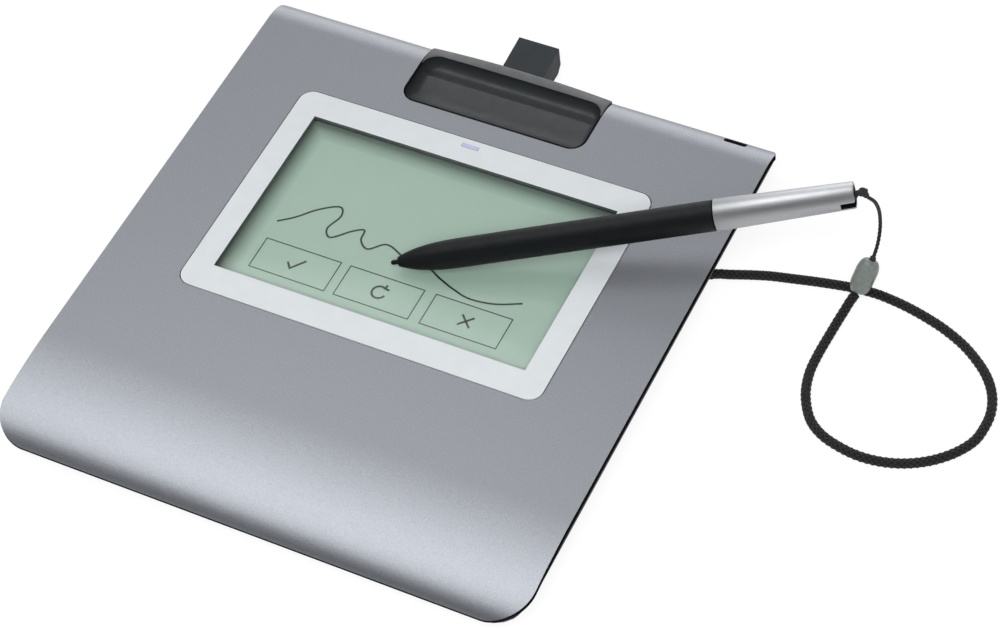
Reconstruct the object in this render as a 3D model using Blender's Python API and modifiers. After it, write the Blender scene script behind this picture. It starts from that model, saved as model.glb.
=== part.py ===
"""Signature pad: a flat signing tablet with a display, a pen rest and a tethered pen. Metres, +Z up.

The origin is the middle of the case's flat underside. +X is the pad's right and +Y its rear edge.
The pen is in writing position, with its nib just over the display's glass.
"""

import math

import bmesh
import bpy
from mathutils import Matrix, Vector

GAP = 0.0003
OVERRUN = 0.001
WELD = 0.00001
CORNER_STEPS = 6
CURVE_STEPS = 8
ROUND_STEPS = 20
SMALL_ROUND_STEPS = 14
SMOOTH_ANGLE = math.radians(35)

# The pad as a whole. Its depth is the hand rest, the display's frame, a band and the pen rest.
PAD_WIDTH = 0.161
HAND_REST_DEPTH = 0.06295
REAR_BAND_DEPTH = 0.00755
DECK_HEIGHT = 0.011
FRONT_ROLL = 0.034
FRONT_DROP = 0.0068
REAR_ROLL = 0.009
REAR_DROP = 0.0042
FRONT_CORNER = 0.011
REAR_CORNER = 0.0025
COVER_WALL = 0.0015
COVER_RIM = 0.0022
FRONT_RIM = 0.0006

# The lower case, whose sides slope in to the underside.
PARTING = 0.0004
CASE_WALL = 0.0016
CASE_LIP = 0.0010
CASE_FRONT_INSET = 0.0013
UNDERCUT = 0.0062

# The display and the white frame around it.
WINDOW_WIDTH = 0.0968
WINDOW_DEPTH = 0.0597
BEZEL_BORDER_X = 0.0076
BEZEL_BORDER_Y = 0.0086
BEZEL_CORNER = 0.0055
BEZEL_PROUD = 0.0002
BEZEL_LIP = 0.0014
BEZEL_HEIGHT = 0.0030
FLANGE_REACH = 0.0020
FLANGE_HEIGHT = 0.0010
GLASS_MARGIN = 0.0035
GLASS_CORNER = 0.0010
GLASS_THICKNESS = 0.0011
GASKET_WIDTH = 0.0025
GASKET_THICKNESS = 0.0005
PANEL_MARGIN = 0.0018
PANEL_THICKNESS = 0.0016
SENSOR_MARGIN = 0.0035
SENSOR_THICKNESS = 0.0008
SHIELD_THICKNESS = 0.0004
HOLDER_WALL = 0.0015
HOLDER_FLOOR = 0.0010
RIB_WIDTH = 0.0016
RIB_PLACE_SHARE = 0.3

# The pen rest along the rear edge, with a wide trough and a narrow one behind a low ridge.
TRAY_WIDTH = 0.058
TRAY_DEPTH = 0.0226
TRAY_CORNER = 0.0045
TRAY_BACK_CORNER = 0.0008
TRAY_FLOOR = 0.0012
TROUGH_DEPTH = 0.0046
TROUGH_END = 0.0022
FRONT_TROUGH = 0.0118
REAR_TROUGH = 0.0058
RIDGE_HEIGHT = 0.0012
TRAY_FRONT_LIP = 0.0013
RIM_ROLL = 0.0080
RIM_DROP = 0.0030
TRAY_STEP = 0.0022

# The connector housing behind the pen rest.
HOUSING_WIDTH = 0.013
HOUSING_HEIGHT = 0.0088
HOUSING_REACH = 0.0114
HOUSING_WALL = 0.0011
HOUSING_FILLET = 0.0006
HOUSING_CHAMFER = 0.0022
NECK_LENGTH = 0.0026
NECK_HEIGHT = 0.0064
MOUTH_DEPTH = 0.0060
MOUTH_HEIGHT = 0.0058
RECEPTACLE_WIDTH = 0.0075
RECEPTACLE_HEIGHT = 0.0026
RECEPTACLE_LENGTH = 0.0067
RECEPTACLE_SHELL = 0.0003
RECEPTACLE_MOUTH = 0.0040
TONGUE_SHARE = 0.3

# The lock slot in the rear edge, and the steel plate behind it.
LOCK_SLOT_INSET = 0.0123
LOCK_SLOT_WIDTH = 0.0070
LOCK_SLOT_HEIGHT = 0.0015
LOCK_SLOT_RISE = 0.0083
LOCK_SLOT_DEPTH = 0.0035
LOCK_PLATE_THICKNESS = 0.0010
LOCK_PLATE_MARGIN = 0.0014
LOCK_PLATE_HEIGHT = 0.0034

# Electronics.
BOARD_THICKNESS = 0.0010
BOARD_RISE = 0.0034
BOARD_SIDE_INSET = 0.0004
BOARD_FRONT_GAP = 0.0004
BOARD_REAR_SETBACK = 0.00655
BOARD_TONGUE_WIDTH = 0.0100
CHIP_SIZE = 0.0070
CHIP_THICKNESS = 0.0010
CHIP_SIDE_CLEARANCE = 0.0029
CHIP_CLEARANCE = 0.00095
SOCKET_WIDTH = 0.018
SOCKET_DEPTH = 0.0026
SOCKET_HEIGHT = 0.0010
SOCKET_SETBACK = 0.0045
LCD_FLEX_SHARE = -0.29
SENSOR_FLEX_SHARE = 0.35
FLEX_THICKNESS = 0.0003
FLEX_WIDTH_SHARE = 0.85
FLEX_BEND = 0.0012
POST_RADIUS = 0.0026
POST_HOLE_RADIUS = 0.0011
POST_SIDE_INSET = 0.0050
POST_REAR_INSET = 0.0025
BOARD_SCREW_RADIUS = 0.0008
BOARD_SCREW_HEAD_RADIUS = 0.0018
BOARD_SCREW_HEAD_HEIGHT = 0.0009
BOARD_SCREW_LENGTH = 0.0024

# The status light in the frame's rear border.
LIGHT_WIDTH = 0.0050
LIGHT_DEPTH = 0.0011
LIGHT_X = -0.0008
LIGHT_FLANGE = 0.0009
LIGHT_FLANGE_HEIGHT = 0.0007
LED_WIDTH = 0.0016
LED_DEPTH = 0.0008
LED_HEIGHT = 0.0007

# Case screws, their towers in the case and their bosses under the cover.
SCREW_ACROSS_SHARE = 0.44
SCREW_FRONT_INSET = 0.027
SCREW_REAR_INSET = 0.019
SCREW_MIDDLE_SHARE = 0.565
SCREW_RADIUS = 0.0012
SCREW_LENGTH = 0.0045
SCREW_HEAD_RADIUS = 0.0022
SCREW_HEAD_HEIGHT = 0.0012
TOWER_WALL = 0.0012
TOWER_FLOOR = 0.0010
COUNTERBORE_DEPTH = 0.0022
BOSS_WALL = 0.0016
BOSS_RISE = 0.0003

# Rubber feet in shallow pockets.
FOOT_RADIUS = 0.0050
FOOT_SIDE_INSET = 0.0245
FOOT_END_INSET = 0.0210
FOOT_STANDOFF = 0.0012
FOOT_POCKET = 0.0008
FOOT_FILLET = 0.0004

# The pen, from its nib to its rear end.
PEN_TIP_X = -0.00225
PEN_TIP_Y = 0.00575
NIB_HOVER = 0.00195
PEN_AZIMUTH = math.radians(23.8)
PEN_ELEVATION = math.radians(10.6)
PEN_LENGTH = 0.1298
GRIP_END = 0.0915
NOSE_START = 0.0022
NOSE_LENGTH = 0.0240
NOSE_MOUTH_RADIUS = 0.00135
NOSE_POWER = 3.6
GRIP_RADIUS = 0.00415
GRIP_END_RADIUS = 0.0043
GRIP_WALL = 0.0011
NOSE_STEPS = 9
TAIL_RADIUS = 0.00445
TAIL_END_RADIUS = 0.0037
TAIL_WALL = 0.0009
TAIL_CHAMFER = 0.0004
TAIL_SPIGOT = 0.0060
TAIL_SLOT_WIDTH = 0.0012
TAIL_SLOT_LENGTH = 0.0040
NIB_RADIUS = 0.0007
NIB_ROUND_STEPS = 4
CORE_RADIUS = 0.0019
CORE_LENGTH = 0.0140
CORE_START = 0.0095
COIL_WALL = 0.0006
COIL_LENGTH = 0.0100
COIL_START = 0.0115
PRESSURE_START = 0.0240
PRESSURE_LENGTH = 0.0060
PRESSURE_RADIUS = 0.0024
NIB_TRAVEL_ROOM = 0.0008
NIB_LENGTH = PRESSURE_START - NIB_TRAVEL_ROOM
PEN_BOARD_START = 0.0310
PEN_BOARD_LENGTH = 0.0480
PEN_BOARD_WIDTH = 0.0044
PEN_BOARD_THICKNESS = 0.0008
PLUG_LENGTH = 0.0078
PLUG_SETBACK = 0.0040
PLUG_START = PEN_LENGTH - PLUG_SETBACK - PLUG_LENGTH
PIN_RADIUS = 0.0005
PIN_SETBACK = 0.0018
LOOP_RADIUS = 0.00055
LOOP_HALF_WIDTH = 0.00135
LOOP_HALF_LENGTH = 0.00160

# The tether: a braided cord from the pad to a bead, and a thin string from the bead to the pen.
CORD_DIAMETER = 0.0029
CORD_SIDES_RESOLUTION = 2
CORD_STEP = 0.0034
STRING_DIAMETER = 0.0011
STRING_STEP = 0.0024
BEAD_RADIUS = 0.0032
BEAD_END_RADIUS = 0.0013
BEAD_TAPER = 0.0022
BEAD_LENGTH = 0.0100
BEAD_STEPS = 5
KNOT_RADIUS = 0.0011
GROMMET_RADIUS = 0.0019
GROMMET_NOSE = 0.0020
GROMMET_TAPER_SHARE = 0.8
ANCHOR_RADIUS = 0.0011
ANCHOR_LENGTH = 0.0040
# Where the cord's centre line lies, from the grommet along the table and up to the bead.
CORD_ROUTE = [
    (0.0779, 0.0407, 0.0030),
    (0.0795, 0.0420, 0.0027),
    (0.0812, 0.0432, 0.0021),
    (0.0829, 0.0443, 0.0014),
    (0.0878, 0.0468, 0.0006),
    (0.0928, 0.0487, 0.0003),
    (0.0981, 0.0500, 0.00025),
    (0.1061, 0.0518, 0.00025),
    (0.1142, 0.0533, 0.00025),
    (0.1209, 0.0539, 0.00025),
    (0.1257, 0.0537, 0.00025),
    (0.1318, 0.0528, 0.00025),
    (0.1380, 0.0513, 0.00025),
    (0.1443, 0.0492, 0.00025),
    (0.1512, 0.0458, 0.00025),
    (0.1573, 0.0412, 0.00025),
    (0.1611, 0.0370, 0.00025),
    (0.1636, 0.0325, 0.00025),
    (0.1649, 0.0277, 0.00025),
    (0.1650, 0.0230, 0.00025),
    (0.1641, 0.0178, 0.00025),
    (0.1612, 0.0128, 0.00025),
    (0.1572, 0.0086, 0.00025),
    (0.1528, 0.0055, 0.00025),
    (0.1480, 0.0033, 0.00025),
    (0.1428, 0.0020, 0.00025),
    (0.1374, 0.0017, 0.00025),
    (0.1320, 0.0025, 0.00025),
    (0.1267, 0.0042, 0.00025),
    (0.1223, 0.0072, 0.00025),
    (0.1191, 0.0116, 0.00025),
    (0.1169, 0.0166, 0.0003),
    (0.1157, 0.0224, 0.0004),
    (0.1156, 0.0283, 0.0006),
    (0.1160, 0.0345, 0.0010),
    (0.1165, 0.0400, 0.0015),
    (0.1170, 0.0442, 0.0021),
    (0.1174, 0.0467, 0.0028),
    (0.1179, 0.0482, 0.0036),
    (0.1184, 0.0490, 0.0043),
]
# Where the string's centre line lies, from the bead up to the knot at the pen's end.
STRING_ROUTE = [
    (0.1204, 0.0557, 0.0126),
    (0.1203, 0.0575, 0.0128),
    (0.1200, 0.0602, 0.0133),
    (0.1196, 0.0624, 0.0143),
    (0.1192, 0.0641, 0.0163),
    (0.1190, 0.0644, 0.0193),
    (0.1191, 0.0634, 0.0234),
    (0.1192, 0.0616, 0.0278),
    (0.1191, 0.0594, 0.0322),
    (0.1180, 0.0578, 0.0351),
]
BEAD_FRONT = (0.1185, 0.0493, 0.0047)
BEAD_AIM = (0.1203, 0.0555, 0.0124)

# Heights that follow from the stack over the case's floor and under the frame.
BEZEL_TOP = DECK_HEIGHT + BEZEL_PROUD
BEZEL_BOTTOM = BEZEL_TOP - BEZEL_HEIGHT
GLASS_TOP = BEZEL_TOP - BEZEL_LIP - GAP
GLASS_BOTTOM = GLASS_TOP - GLASS_THICKNESS
GASKET_TOP = GLASS_BOTTOM - GAP
GASKET_BOTTOM = GASKET_TOP - GASKET_THICKNESS
PANEL_TOP = GASKET_BOTTOM - GAP
PANEL_BOTTOM = PANEL_TOP - PANEL_THICKNESS
SENSOR_TOP = PANEL_BOTTOM - GAP
SENSOR_BOTTOM = SENSOR_TOP - SENSOR_THICKNESS
SHIELD_TOP = SENSOR_BOTTOM - GAP
SHIELD_BOTTOM = SHIELD_TOP - SHIELD_THICKNESS
HOLDER_INSIDE = SHIELD_BOTTOM - GAP
HOLDER_BOTTOM = HOLDER_INSIDE - HOLDER_FLOOR
BOARD_TOP = BOARD_RISE + BOARD_THICKNESS
FRAME_DEPTH = WINDOW_DEPTH + 2 * BEZEL_BORDER_Y
PAD_DEPTH = HAND_REST_DEPTH + FRAME_DEPTH + REAR_BAND_DEPTH + TRAY_DEPTH
PAD_FRONT = -PAD_DEPTH / 2
PAD_REAR = PAD_DEPTH / 2
WINDOW_Y = PAD_FRONT + HAND_REST_DEPTH + FRAME_DEPTH / 2
TRAY_FRONT_Y = PAD_REAR - TRAY_DEPTH
TROUGH_FRONT_Y = TRAY_FRONT_Y + TRAY_FRONT_LIP
RIDGE_Y = TROUGH_FRONT_Y + FRONT_TROUGH
TROUGH_REAR_Y = RIDGE_Y + REAR_TROUGH
TROUGH_BOTTOM = DECK_HEIGHT - TROUGH_DEPTH
TRAY_BOTTOM = TROUGH_BOTTOM - TRAY_FLOOR
HOUSING_BOTTOM = DECK_HEIGHT - HOUSING_HEIGHT
HOUSING_REAR_Y = PAD_REAR + HOUSING_REACH
NECK_FRONT_Y = PAD_REAR + 2 * GAP - NECK_LENGTH
STACK_HALF_DEPTH = WINDOW_DEPTH / 2 + GLASS_MARGIN
HOLDER_REAR_Y = WINDOW_Y + STACK_HALF_DEPTH + GAP + HOLDER_WALL
BOARD_FRONT_Y = HOLDER_REAR_Y + BOARD_FRONT_GAP
BOARD_REAR_Y = PAD_REAR - BOARD_REAR_SETBACK
BOARD_WIDTH = WINDOW_WIDTH - 2 * BOARD_SIDE_INSET
LCD_FLEX_X = LCD_FLEX_SHARE * WINDOW_WIDTH
SENSOR_FLEX_X = SENSOR_FLEX_SHARE * WINDOW_WIDTH
CHIP_X = SENSOR_FLEX_X - SOCKET_WIDTH / 2 - CHIP_SIDE_CLEARANCE
LIGHT_Y = BOARD_FRONT_Y + LED_DEPTH / 2
MOUTH_SPAN = HOUSING_WIDTH - 2 * HOUSING_WALL
MOUTH_BOTTOM = HOUSING_BOTTOM + HOUSING_WALL
RECEPTACLE_Z = BOARD_TOP + GAP + RECEPTACLE_HEIGHT / 2
LOCK_SLOT_X = PAD_WIDTH / 2 - LOCK_SLOT_INSET
PEN_TIP = (PEN_TIP_X, PEN_TIP_Y, GLASS_TOP + NIB_HOVER)

PAINTED = ("silver_paint", (0.40, 0.41, 0.44), 0.42, 0.55)
DARK_CASE = ("dark_plastic", (0.06, 0.062, 0.066), 0.55, 0.0)
WHITE_FRAME = ("white_plastic", (0.74, 0.77, 0.81), 0.30, 0.0)
TRAY_GREY = ("tray_plastic", (0.075, 0.083, 0.09), 0.48, 0.0)
BLACK_RUBBER = ("black_rubber", (0.02, 0.02, 0.02), 0.85, 0.0)
PEN_BLACK = ("pen_black", (0.018, 0.019, 0.02), 0.50, 0.0)
PEN_SILVER = ("pen_silver", (0.42, 0.43, 0.45), 0.30, 0.7)
CLEAR_GLASS = ("clear_glass", (0.42, 0.52, 0.46), 0.05, 0.0)
PANEL_GREEN = ("display_panel", (0.38, 0.51, 0.41), 0.25, 0.0)
FOAM = ("foam", (0.03, 0.03, 0.03), 0.9, 0.0)
BOARD_GREEN = ("circuit_board", (0.02, 0.16, 0.07), 0.45, 0.0)
STEEL = ("steel", (0.55, 0.55, 0.56), 0.3, 1.0)
CHIP_BLACK = ("chip_black", (0.025, 0.025, 0.025), 0.5, 0.0)
FLEX_AMBER = ("flex_film", (0.50, 0.24, 0.04), 0.4, 0.0)
LIGHT_BLUE = ("light_blue", (0.10, 0.16, 0.80), 0.2, 0.0)
COPPER = ("copper", (0.62, 0.28, 0.12), 0.35, 1.0)
FERRITE = ("ferrite", (0.08, 0.08, 0.085), 0.6, 0.0)
CORD_BLACK = ("braided_cord", (0.02, 0.02, 0.021), 0.9, 0.0)
BEAD_GREY = ("bead_plastic", (0.18, 0.21, 0.19), 0.25, 0.0)


def clear_scene():
    for obj in list(bpy.data.objects):
        bpy.data.objects.remove(obj)


def collection(name):
    made = bpy.data.collections.new(name)
    bpy.context.scene.collection.children.link(made)
    return made


def material(finish):
    name, color, roughness, metallic = finish
    made = bpy.data.materials.get(name)
    if made is None:
        made = bpy.data.materials.new(name)
        made.use_nodes = True
        shader = made.node_tree.nodes["Principled BSDF"]
        shader.inputs["Base Color"].default_value = (*color, 1)
        shader.inputs["Roughness"].default_value = roughness
        shader.inputs["Metallic"].default_value = metallic
    return made


def part(obj, finish):
    """Files obj as one of the pad's own pieces, with its finish."""
    obj.data.materials.clear()
    obj.data.materials.append(material(finish))
    PARTS.objects.link(obj)
    return obj


def cutter(obj):
    """Files obj as a helper that only shapes other pieces."""
    obj.hide_render = True
    obj.display_type = "WIRE"
    CUTTERS.objects.link(obj)
    return obj


def combine(obj, other, operation):
    modifier = obj.modifiers.new(operation.lower(), "BOOLEAN")
    modifier.operation = operation
    modifier.object = cutter(other) if other.name not in CUTTERS.objects else other
    return obj


def cut(obj, *others):
    for other in others:
        combine(obj, other, "DIFFERENCE")
    return obj


def join(obj, *others):
    for other in others:
        combine(obj, other, "UNION")
    return obj


def tidy_mesh(mesh):
    """Welds loose caps and turns every face out."""
    bm = bmesh.new()
    bm.from_mesh(mesh)
    bmesh.ops.remove_doubles(bm, verts=bm.verts, dist=WELD)
    bmesh.ops.recalc_face_normals(bm, faces=bm.faces)
    bm.to_mesh(mesh)
    bm.free()


def curve_to_mesh(name, curve):
    """The solid that a curve object makes, as a mesh object that is in no collection yet."""
    holder = bpy.data.objects.new(name + "_curve", curve)
    bpy.context.scene.collection.objects.link(holder)
    graph = bpy.context.evaluated_depsgraph_get()
    mesh = bpy.data.meshes.new_from_object(holder.evaluated_get(graph))
    bpy.data.objects.remove(holder)
    tidy_mesh(mesh)
    return bpy.data.objects.new(name, mesh)


def flat_shape(name, outline, bottom, top):
    """The closed XY outline, standing from height bottom to height top."""
    curve = bpy.data.curves.new(name, "CURVE")
    curve.dimensions = "2D"
    curve.fill_mode = "BOTH"
    curve.extrude = (top - bottom) / 2
    spline = curve.splines.new("POLY")
    spline.points.add(len(outline) - 1)
    for point, (x, y) in zip(spline.points, outline):
        point.co = (x, y, 0, 1)
    spline.use_cyclic_u = True
    made = curve_to_mesh(name, curve)
    made.data.transform(Matrix.Translation((0, 0, (top + bottom) / 2)))
    return made


def side_shape(name, outline, left, right):
    """The closed YZ outline, reaching across the pad from x = left to x = right."""
    made = flat_shape(name, outline, left, right)
    made.data.transform(Matrix(((0, 0, 1, 0), (1, 0, 0, 0), (0, 1, 0, 0), (0, 0, 0, 1))))
    return made


def block(name, low, high):
    """A box between two opposite corners."""
    mesh = bpy.data.meshes.new(name)
    bm = bmesh.new()
    bmesh.ops.create_cube(bm, size=1)
    bm.to_mesh(mesh)
    bm.free()
    low, high = Vector(low), Vector(high)
    size = high - low
    mesh.transform(Matrix.Translation((low + high) / 2) @ Matrix.Diagonal((*size, 1)))
    return bpy.data.objects.new(name, mesh)


def disc(name, center, radius, bottom, top, steps=ROUND_STEPS):
    """An upright cylinder."""
    mesh = bpy.data.meshes.new(name)
    bm = bmesh.new()
    depth = top - bottom
    bmesh.ops.create_cone(
        bm, cap_ends=True, segments=steps, radius1=radius, radius2=radius, depth=depth
    )
    bm.to_mesh(mesh)
    bm.free()
    mesh.transform(Matrix.Translation((center[0], center[1], (top + bottom) / 2)))
    return bpy.data.objects.new(name, mesh)


def rounded_outline(low, high, front_radius, rear_radius):
    """A rectangle in plan with rounded corners, counterclockwise from its front left."""
    corners = [
        (low[0] + front_radius, low[1] + front_radius, front_radius, math.pi),
        (high[0] - front_radius, low[1] + front_radius, front_radius, 1.5 * math.pi),
        (high[0] - rear_radius, high[1] - rear_radius, rear_radius, 0),
        (low[0] + rear_radius, high[1] - rear_radius, rear_radius, 0.5 * math.pi),
    ]
    outline = []
    for x, y, radius, start in corners:
        for step in range(CORNER_STEPS + 1):
            angle = start + 0.5 * math.pi * step / CORNER_STEPS
            outline.append((x + radius * math.cos(angle), y + radius * math.sin(angle)))
    return outline


def pad_outline(inset):
    """The pad's outline in plan, drawn in by inset."""
    return rounded_outline(
        (inset - PAD_WIDTH / 2, PAD_FRONT + inset),
        (PAD_WIDTH / 2 - inset, PAD_REAR - inset),
        FRONT_CORNER - inset,
        REAR_CORNER - inset / 2,
    )


def case_outline(inset):
    """The lower case's outline in plan, drawn in by inset. Its front stands back under the cover's edge."""
    return rounded_outline(
        (GAP + inset - PAD_WIDTH / 2, PAD_FRONT + CASE_FRONT_INSET + inset),
        (PAD_WIDTH / 2 - GAP - inset, PAD_REAR - GAP - inset),
        FRONT_CORNER - GAP - inset,
        REAR_CORNER - GAP - inset / 2,
    )


def centred_outline(center_y, width, depth, radius):
    return rounded_outline(
        (-width / 2, center_y - depth / 2), (width / 2, center_y + depth / 2), radius, radius
    )


def roll(angle, run, drop):
    """How far out and how far down an elliptical edge is at an angle from level."""
    return run * math.sin(angle), drop * (1 - math.cos(angle))


def deck_line(lowered, front_lowered=None):
    """Points (y, z) along the cover's top from front to rear. The rolled edges end just outside the pad.

    The line lies lower by the first amount, which fades to the second along the front roll.
    """
    extra = 0 if front_lowered is None else lowered - front_lowered
    front_start = PAD_FRONT + FRONT_ROLL
    rear_start = PAD_REAR - REAR_ROLL
    top = DECK_HEIGHT - lowered
    line = []
    for step in range(CURVE_STEPS, -1, -1):
        angle = 0.5 * math.pi * step / CURVE_STEPS
        out, down = roll(angle, FRONT_ROLL + GAP, FRONT_DROP)
        line.append((front_start - out, top - down + extra * (1 - math.cos(angle))))
    for step in range(CURVE_STEPS + 1):
        out, down = roll(0.5 * math.pi * step / CURVE_STEPS, REAR_ROLL + GAP, REAR_DROP)
        line.append((rear_start + out, top - down))
    line.insert(0, (PAD_FRONT - OVERRUN, line[0][1]))
    line.append((PAD_REAR + OVERRUN, line[-1][1]))
    return line


def over_deck(name, lowered, front_lowered=None):
    """Everything above the deck line, as a cutter."""
    line = deck_line(lowered, front_lowered)
    top = DECK_HEIGHT + 2 * OVERRUN
    outline = line + [(line[-1][0], top), (line[0][0], top)]
    return side_shape(name, outline, -PAD_WIDTH / 2 - OVERRUN, PAD_WIDTH / 2 + OVERRUN)


def under_deck(name, lowered, front_lowered):
    """Everything below the deck line, as a cutter."""
    line = deck_line(lowered, front_lowered)
    bottom = -3 * OVERRUN
    outline = line + [(line[-1][0], bottom), (line[0][0], bottom)]
    return side_shape(name, outline, -PAD_WIDTH / 2 - OVERRUN, PAD_WIDTH / 2 + OVERRUN)


def deck_block(name, inset, lowered, bottom):
    """The pad's outline drawn in by inset, from bottom up to the deck line."""
    body = flat_shape(name, pad_outline(inset), bottom, DECK_HEIGHT + OVERRUN)
    return cut(body, over_deck(name + "_above", lowered))


def edge_height(lowered, line_index):
    return deck_line(lowered)[line_index][1]


def rear_fall(y):
    """How far the cover's rear roll has dropped below the deck at a distance y behind the middle."""
    share = (y - PAD_REAR + REAR_ROLL) / (REAR_ROLL + GAP)
    return REAR_DROP * (1 - math.sqrt(1 - share**2))


def rear_skirt_bottom():
    """Where the cover's skirt ends at the pad's rear face, which the pen rest's own skirt follows."""
    return DECK_HEIGHT - COVER_RIM - rear_fall(PAD_REAR)


def screw_places():
    holder_side = WINDOW_WIDTH / 2 + GLASS_MARGIN + GAP + HOLDER_WALL
    across = holder_side + SCREW_ACROSS_SHARE * (PAD_WIDTH / 2 - holder_side)
    front, rear = PAD_FRONT + SCREW_FRONT_INSET, PAD_REAR - SCREW_REAR_INSET
    middle = front + SCREW_MIDDLE_SHARE * (rear - front)
    for row, y in (("front", front), ("middle", middle), ("rear", rear)):
        for side, x in (("left", -across), ("right", across)):
            yield f"{row}_{side}", (x, y)


def tower_top():
    return COUNTERBORE_DEPTH + TOWER_FLOOR


def top_cover():
    cover = deck_block("top_cover", 0, 0, -OVERRUN)
    cut(cover, under_deck("cover_below", COVER_RIM, FRONT_RIM))
    cut(cover, deck_block("cover_hollow", COVER_WALL, COVER_WALL, -2 * OVERRUN))
    for name, (x, y) in screw_places():
        boss_bottom = tower_top() + BOSS_RISE
        radius = SCREW_RADIUS + GAP + BOSS_WALL
        boss_top = DECK_HEIGHT - COVER_WALL + COVER_WALL / 2
        join(cover, disc("boss_" + name, (x, y), radius, boss_bottom, boss_top, SMALL_ROUND_STEPS))
    for name, (x, y) in screw_places():
        hole_top = tower_top() - COUNTERBORE_DEPTH / 2 + SCREW_LENGTH + GAP
        hole = disc("pilot_" + name, (x, y), SCREW_RADIUS + GAP, 0, hole_top, SMALL_ROUND_STEPS)
        cut(cover, hole)
    opening = centred_outline(
        WINDOW_Y,
        WINDOW_WIDTH + 2 * BEZEL_BORDER_X + 2 * GAP,
        WINDOW_DEPTH + 2 * BEZEL_BORDER_Y + 2 * GAP,
        BEZEL_CORNER + GAP,
    )
    cut(cover, flat_shape("frame_opening", opening, 0, DECK_HEIGHT + OVERRUN))
    rest = rounded_outline(
        (-TRAY_WIDTH / 2 - GAP, TRAY_FRONT_Y - GAP),
        (TRAY_WIDTH / 2 + GAP, PAD_REAR + OVERRUN),
        TRAY_CORNER + GAP,
        TRAY_BACK_CORNER,
    )
    cut(cover, flat_shape("rest_opening", rest, 0, DECK_HEIGHT + OVERRUN))
    slot_front = PAD_REAR - LOCK_SLOT_DEPTH
    cut(
        cover,
        block(
            "lock_slot_cut",
            (LOCK_SLOT_X - LOCK_SLOT_WIDTH / 2, slot_front, LOCK_SLOT_RISE),
            (
                LOCK_SLOT_X + LOCK_SLOT_WIDTH / 2,
                PAD_REAR + OVERRUN,
                LOCK_SLOT_RISE + LOCK_SLOT_HEIGHT,
            ),
        ),
    )
    return part(cover, PAINTED)


def case_tub(name, shrink, floor):
    """The lower case's outer form drawn in by shrink on every side, with a flat bottom at height floor."""
    lip = COVER_RIM + PARTING + CASE_LIP
    rises = {
        "side": DECK_HEIGHT - lip,
        "front": edge_height(lip - COVER_RIM + FRONT_RIM, 0),
        "rear": edge_height(lip, -1),
    }
    top = DECK_HEIGHT
    reach = {key: UNDERCUT * top / rise for key, rise in rises.items()}
    loops = []
    for height, share in ((0, 0), (top, 1)):
        low_x = PAD_WIDTH / 2 - UNDERCUT - shrink + share * reach["side"]
        low_y = PAD_FRONT + UNDERCUT + shrink - share * reach["front"]
        high_y = PAD_REAR - UNDERCUT - shrink + share * reach["rear"]
        outline = rounded_outline((-low_x, low_y), (low_x, high_y), FRONT_CORNER, FRONT_CORNER / 2)
        loops.append([(x, y, height + floor) for x, y in outline])
    return loft(name, loops)


def loft(name, loops):
    """A closed body through loops of equal length."""
    bm = bmesh.new()
    rings = [[bm.verts.new(point) for point in loop] for loop in loops]
    count = len(loops[0])
    for lower, upper in zip(rings, rings[1:]):
        for index in range(count):
            after = (index + 1) % count
            bm.faces.new((lower[index], lower[after], upper[after], upper[index]))
    bm.faces.new(rings[0][::-1])
    bm.faces.new(rings[-1])
    mesh = bpy.data.meshes.new(name)
    bm.to_mesh(mesh)
    bm.free()
    tidy_mesh(mesh)
    return bpy.data.objects.new(name, mesh)


def grommet_frame():
    """The grommet's mouth and its direction, in line with the start of the cord."""
    mouth, after = Vector(CORD_ROUTE[0]), Vector(CORD_ROUTE[1])
    way = (after - mouth).normalized()
    way.z = 0
    return mouth, way.normalized()


def aimed(obj, start, way):
    """Turns a body that stands on the origin along +Z to start at a point and run along way."""
    turn = Vector(way).to_track_quat("Z", "Y").to_matrix().to_4x4()
    obj.data.transform(Matrix.Translation(start) @ turn)
    return obj


def bottom_case():
    case = case_tub("bottom_case", 0, 0)
    combine(case, flat_shape("case_outline", case_outline(0), -OVERRUN, DECK_HEIGHT), "INTERSECT")
    cut(case, over_deck("case_above", COVER_RIM + PARTING, FRONT_RIM + PARTING))
    hollow = case_tub("case_hollow", CASE_WALL, CASE_WALL)
    inside = flat_shape("case_inside", case_outline(CASE_WALL), 0, DECK_HEIGHT + CASE_WALL)
    combine(hollow, inside, "INTERSECT")
    cut(case, hollow)
    add_case_ribs(case)
    for name, (x, y) in screw_places():
        head_room = SCREW_HEAD_RADIUS + GAP
        tower = disc("tower_" + name, (x, y), head_room + TOWER_WALL, CASE_WALL / 2, tower_top())
        join(case, tower)
    for name, (x, y) in screw_places():
        head_room = SCREW_HEAD_RADIUS + GAP
        cut(case, disc("counterbore_" + name, (x, y), head_room, -OVERRUN, COUNTERBORE_DEPTH))
        shank = SCREW_RADIUS + GAP
        cut(case, disc("clearance_" + name, (x, y), shank, 0, DECK_HEIGHT, SMALL_ROUND_STEPS))
    for name, (x, y) in foot_places():
        cut(case, disc("pocket_" + name, (x, y), FOOT_RADIUS + GAP, -OVERRUN, FOOT_POCKET))
    notch = HOUSING_WIDTH / 2 + GAP
    cut(
        case,
        block(
            "housing_notch",
            (-notch, BOARD_REAR_Y, HOUSING_BOTTOM - GAP),
            (notch, PAD_REAR + OVERRUN, DECK_HEIGHT),
        ),
    )
    seat = TRAY_WIDTH / 2 + 2 * GAP
    cut(
        case,
        block(
            "tray_seat",
            (-seat, PAD_REAR - TRAY_STEP, rear_skirt_bottom() - PARTING),
            (seat, PAD_REAR + OVERRUN, DECK_HEIGHT),
        ),
    )
    mouth, way = grommet_frame()
    length = GROMMET_NOSE + UNDERCUT
    bore = disc("grommet_bore", (0, 0), GROMMET_RADIUS + GAP, -length, length, SMALL_ROUND_STEPS)
    cut(case, aimed(bore, mouth, way))
    return part(case, DARK_CASE)


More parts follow.
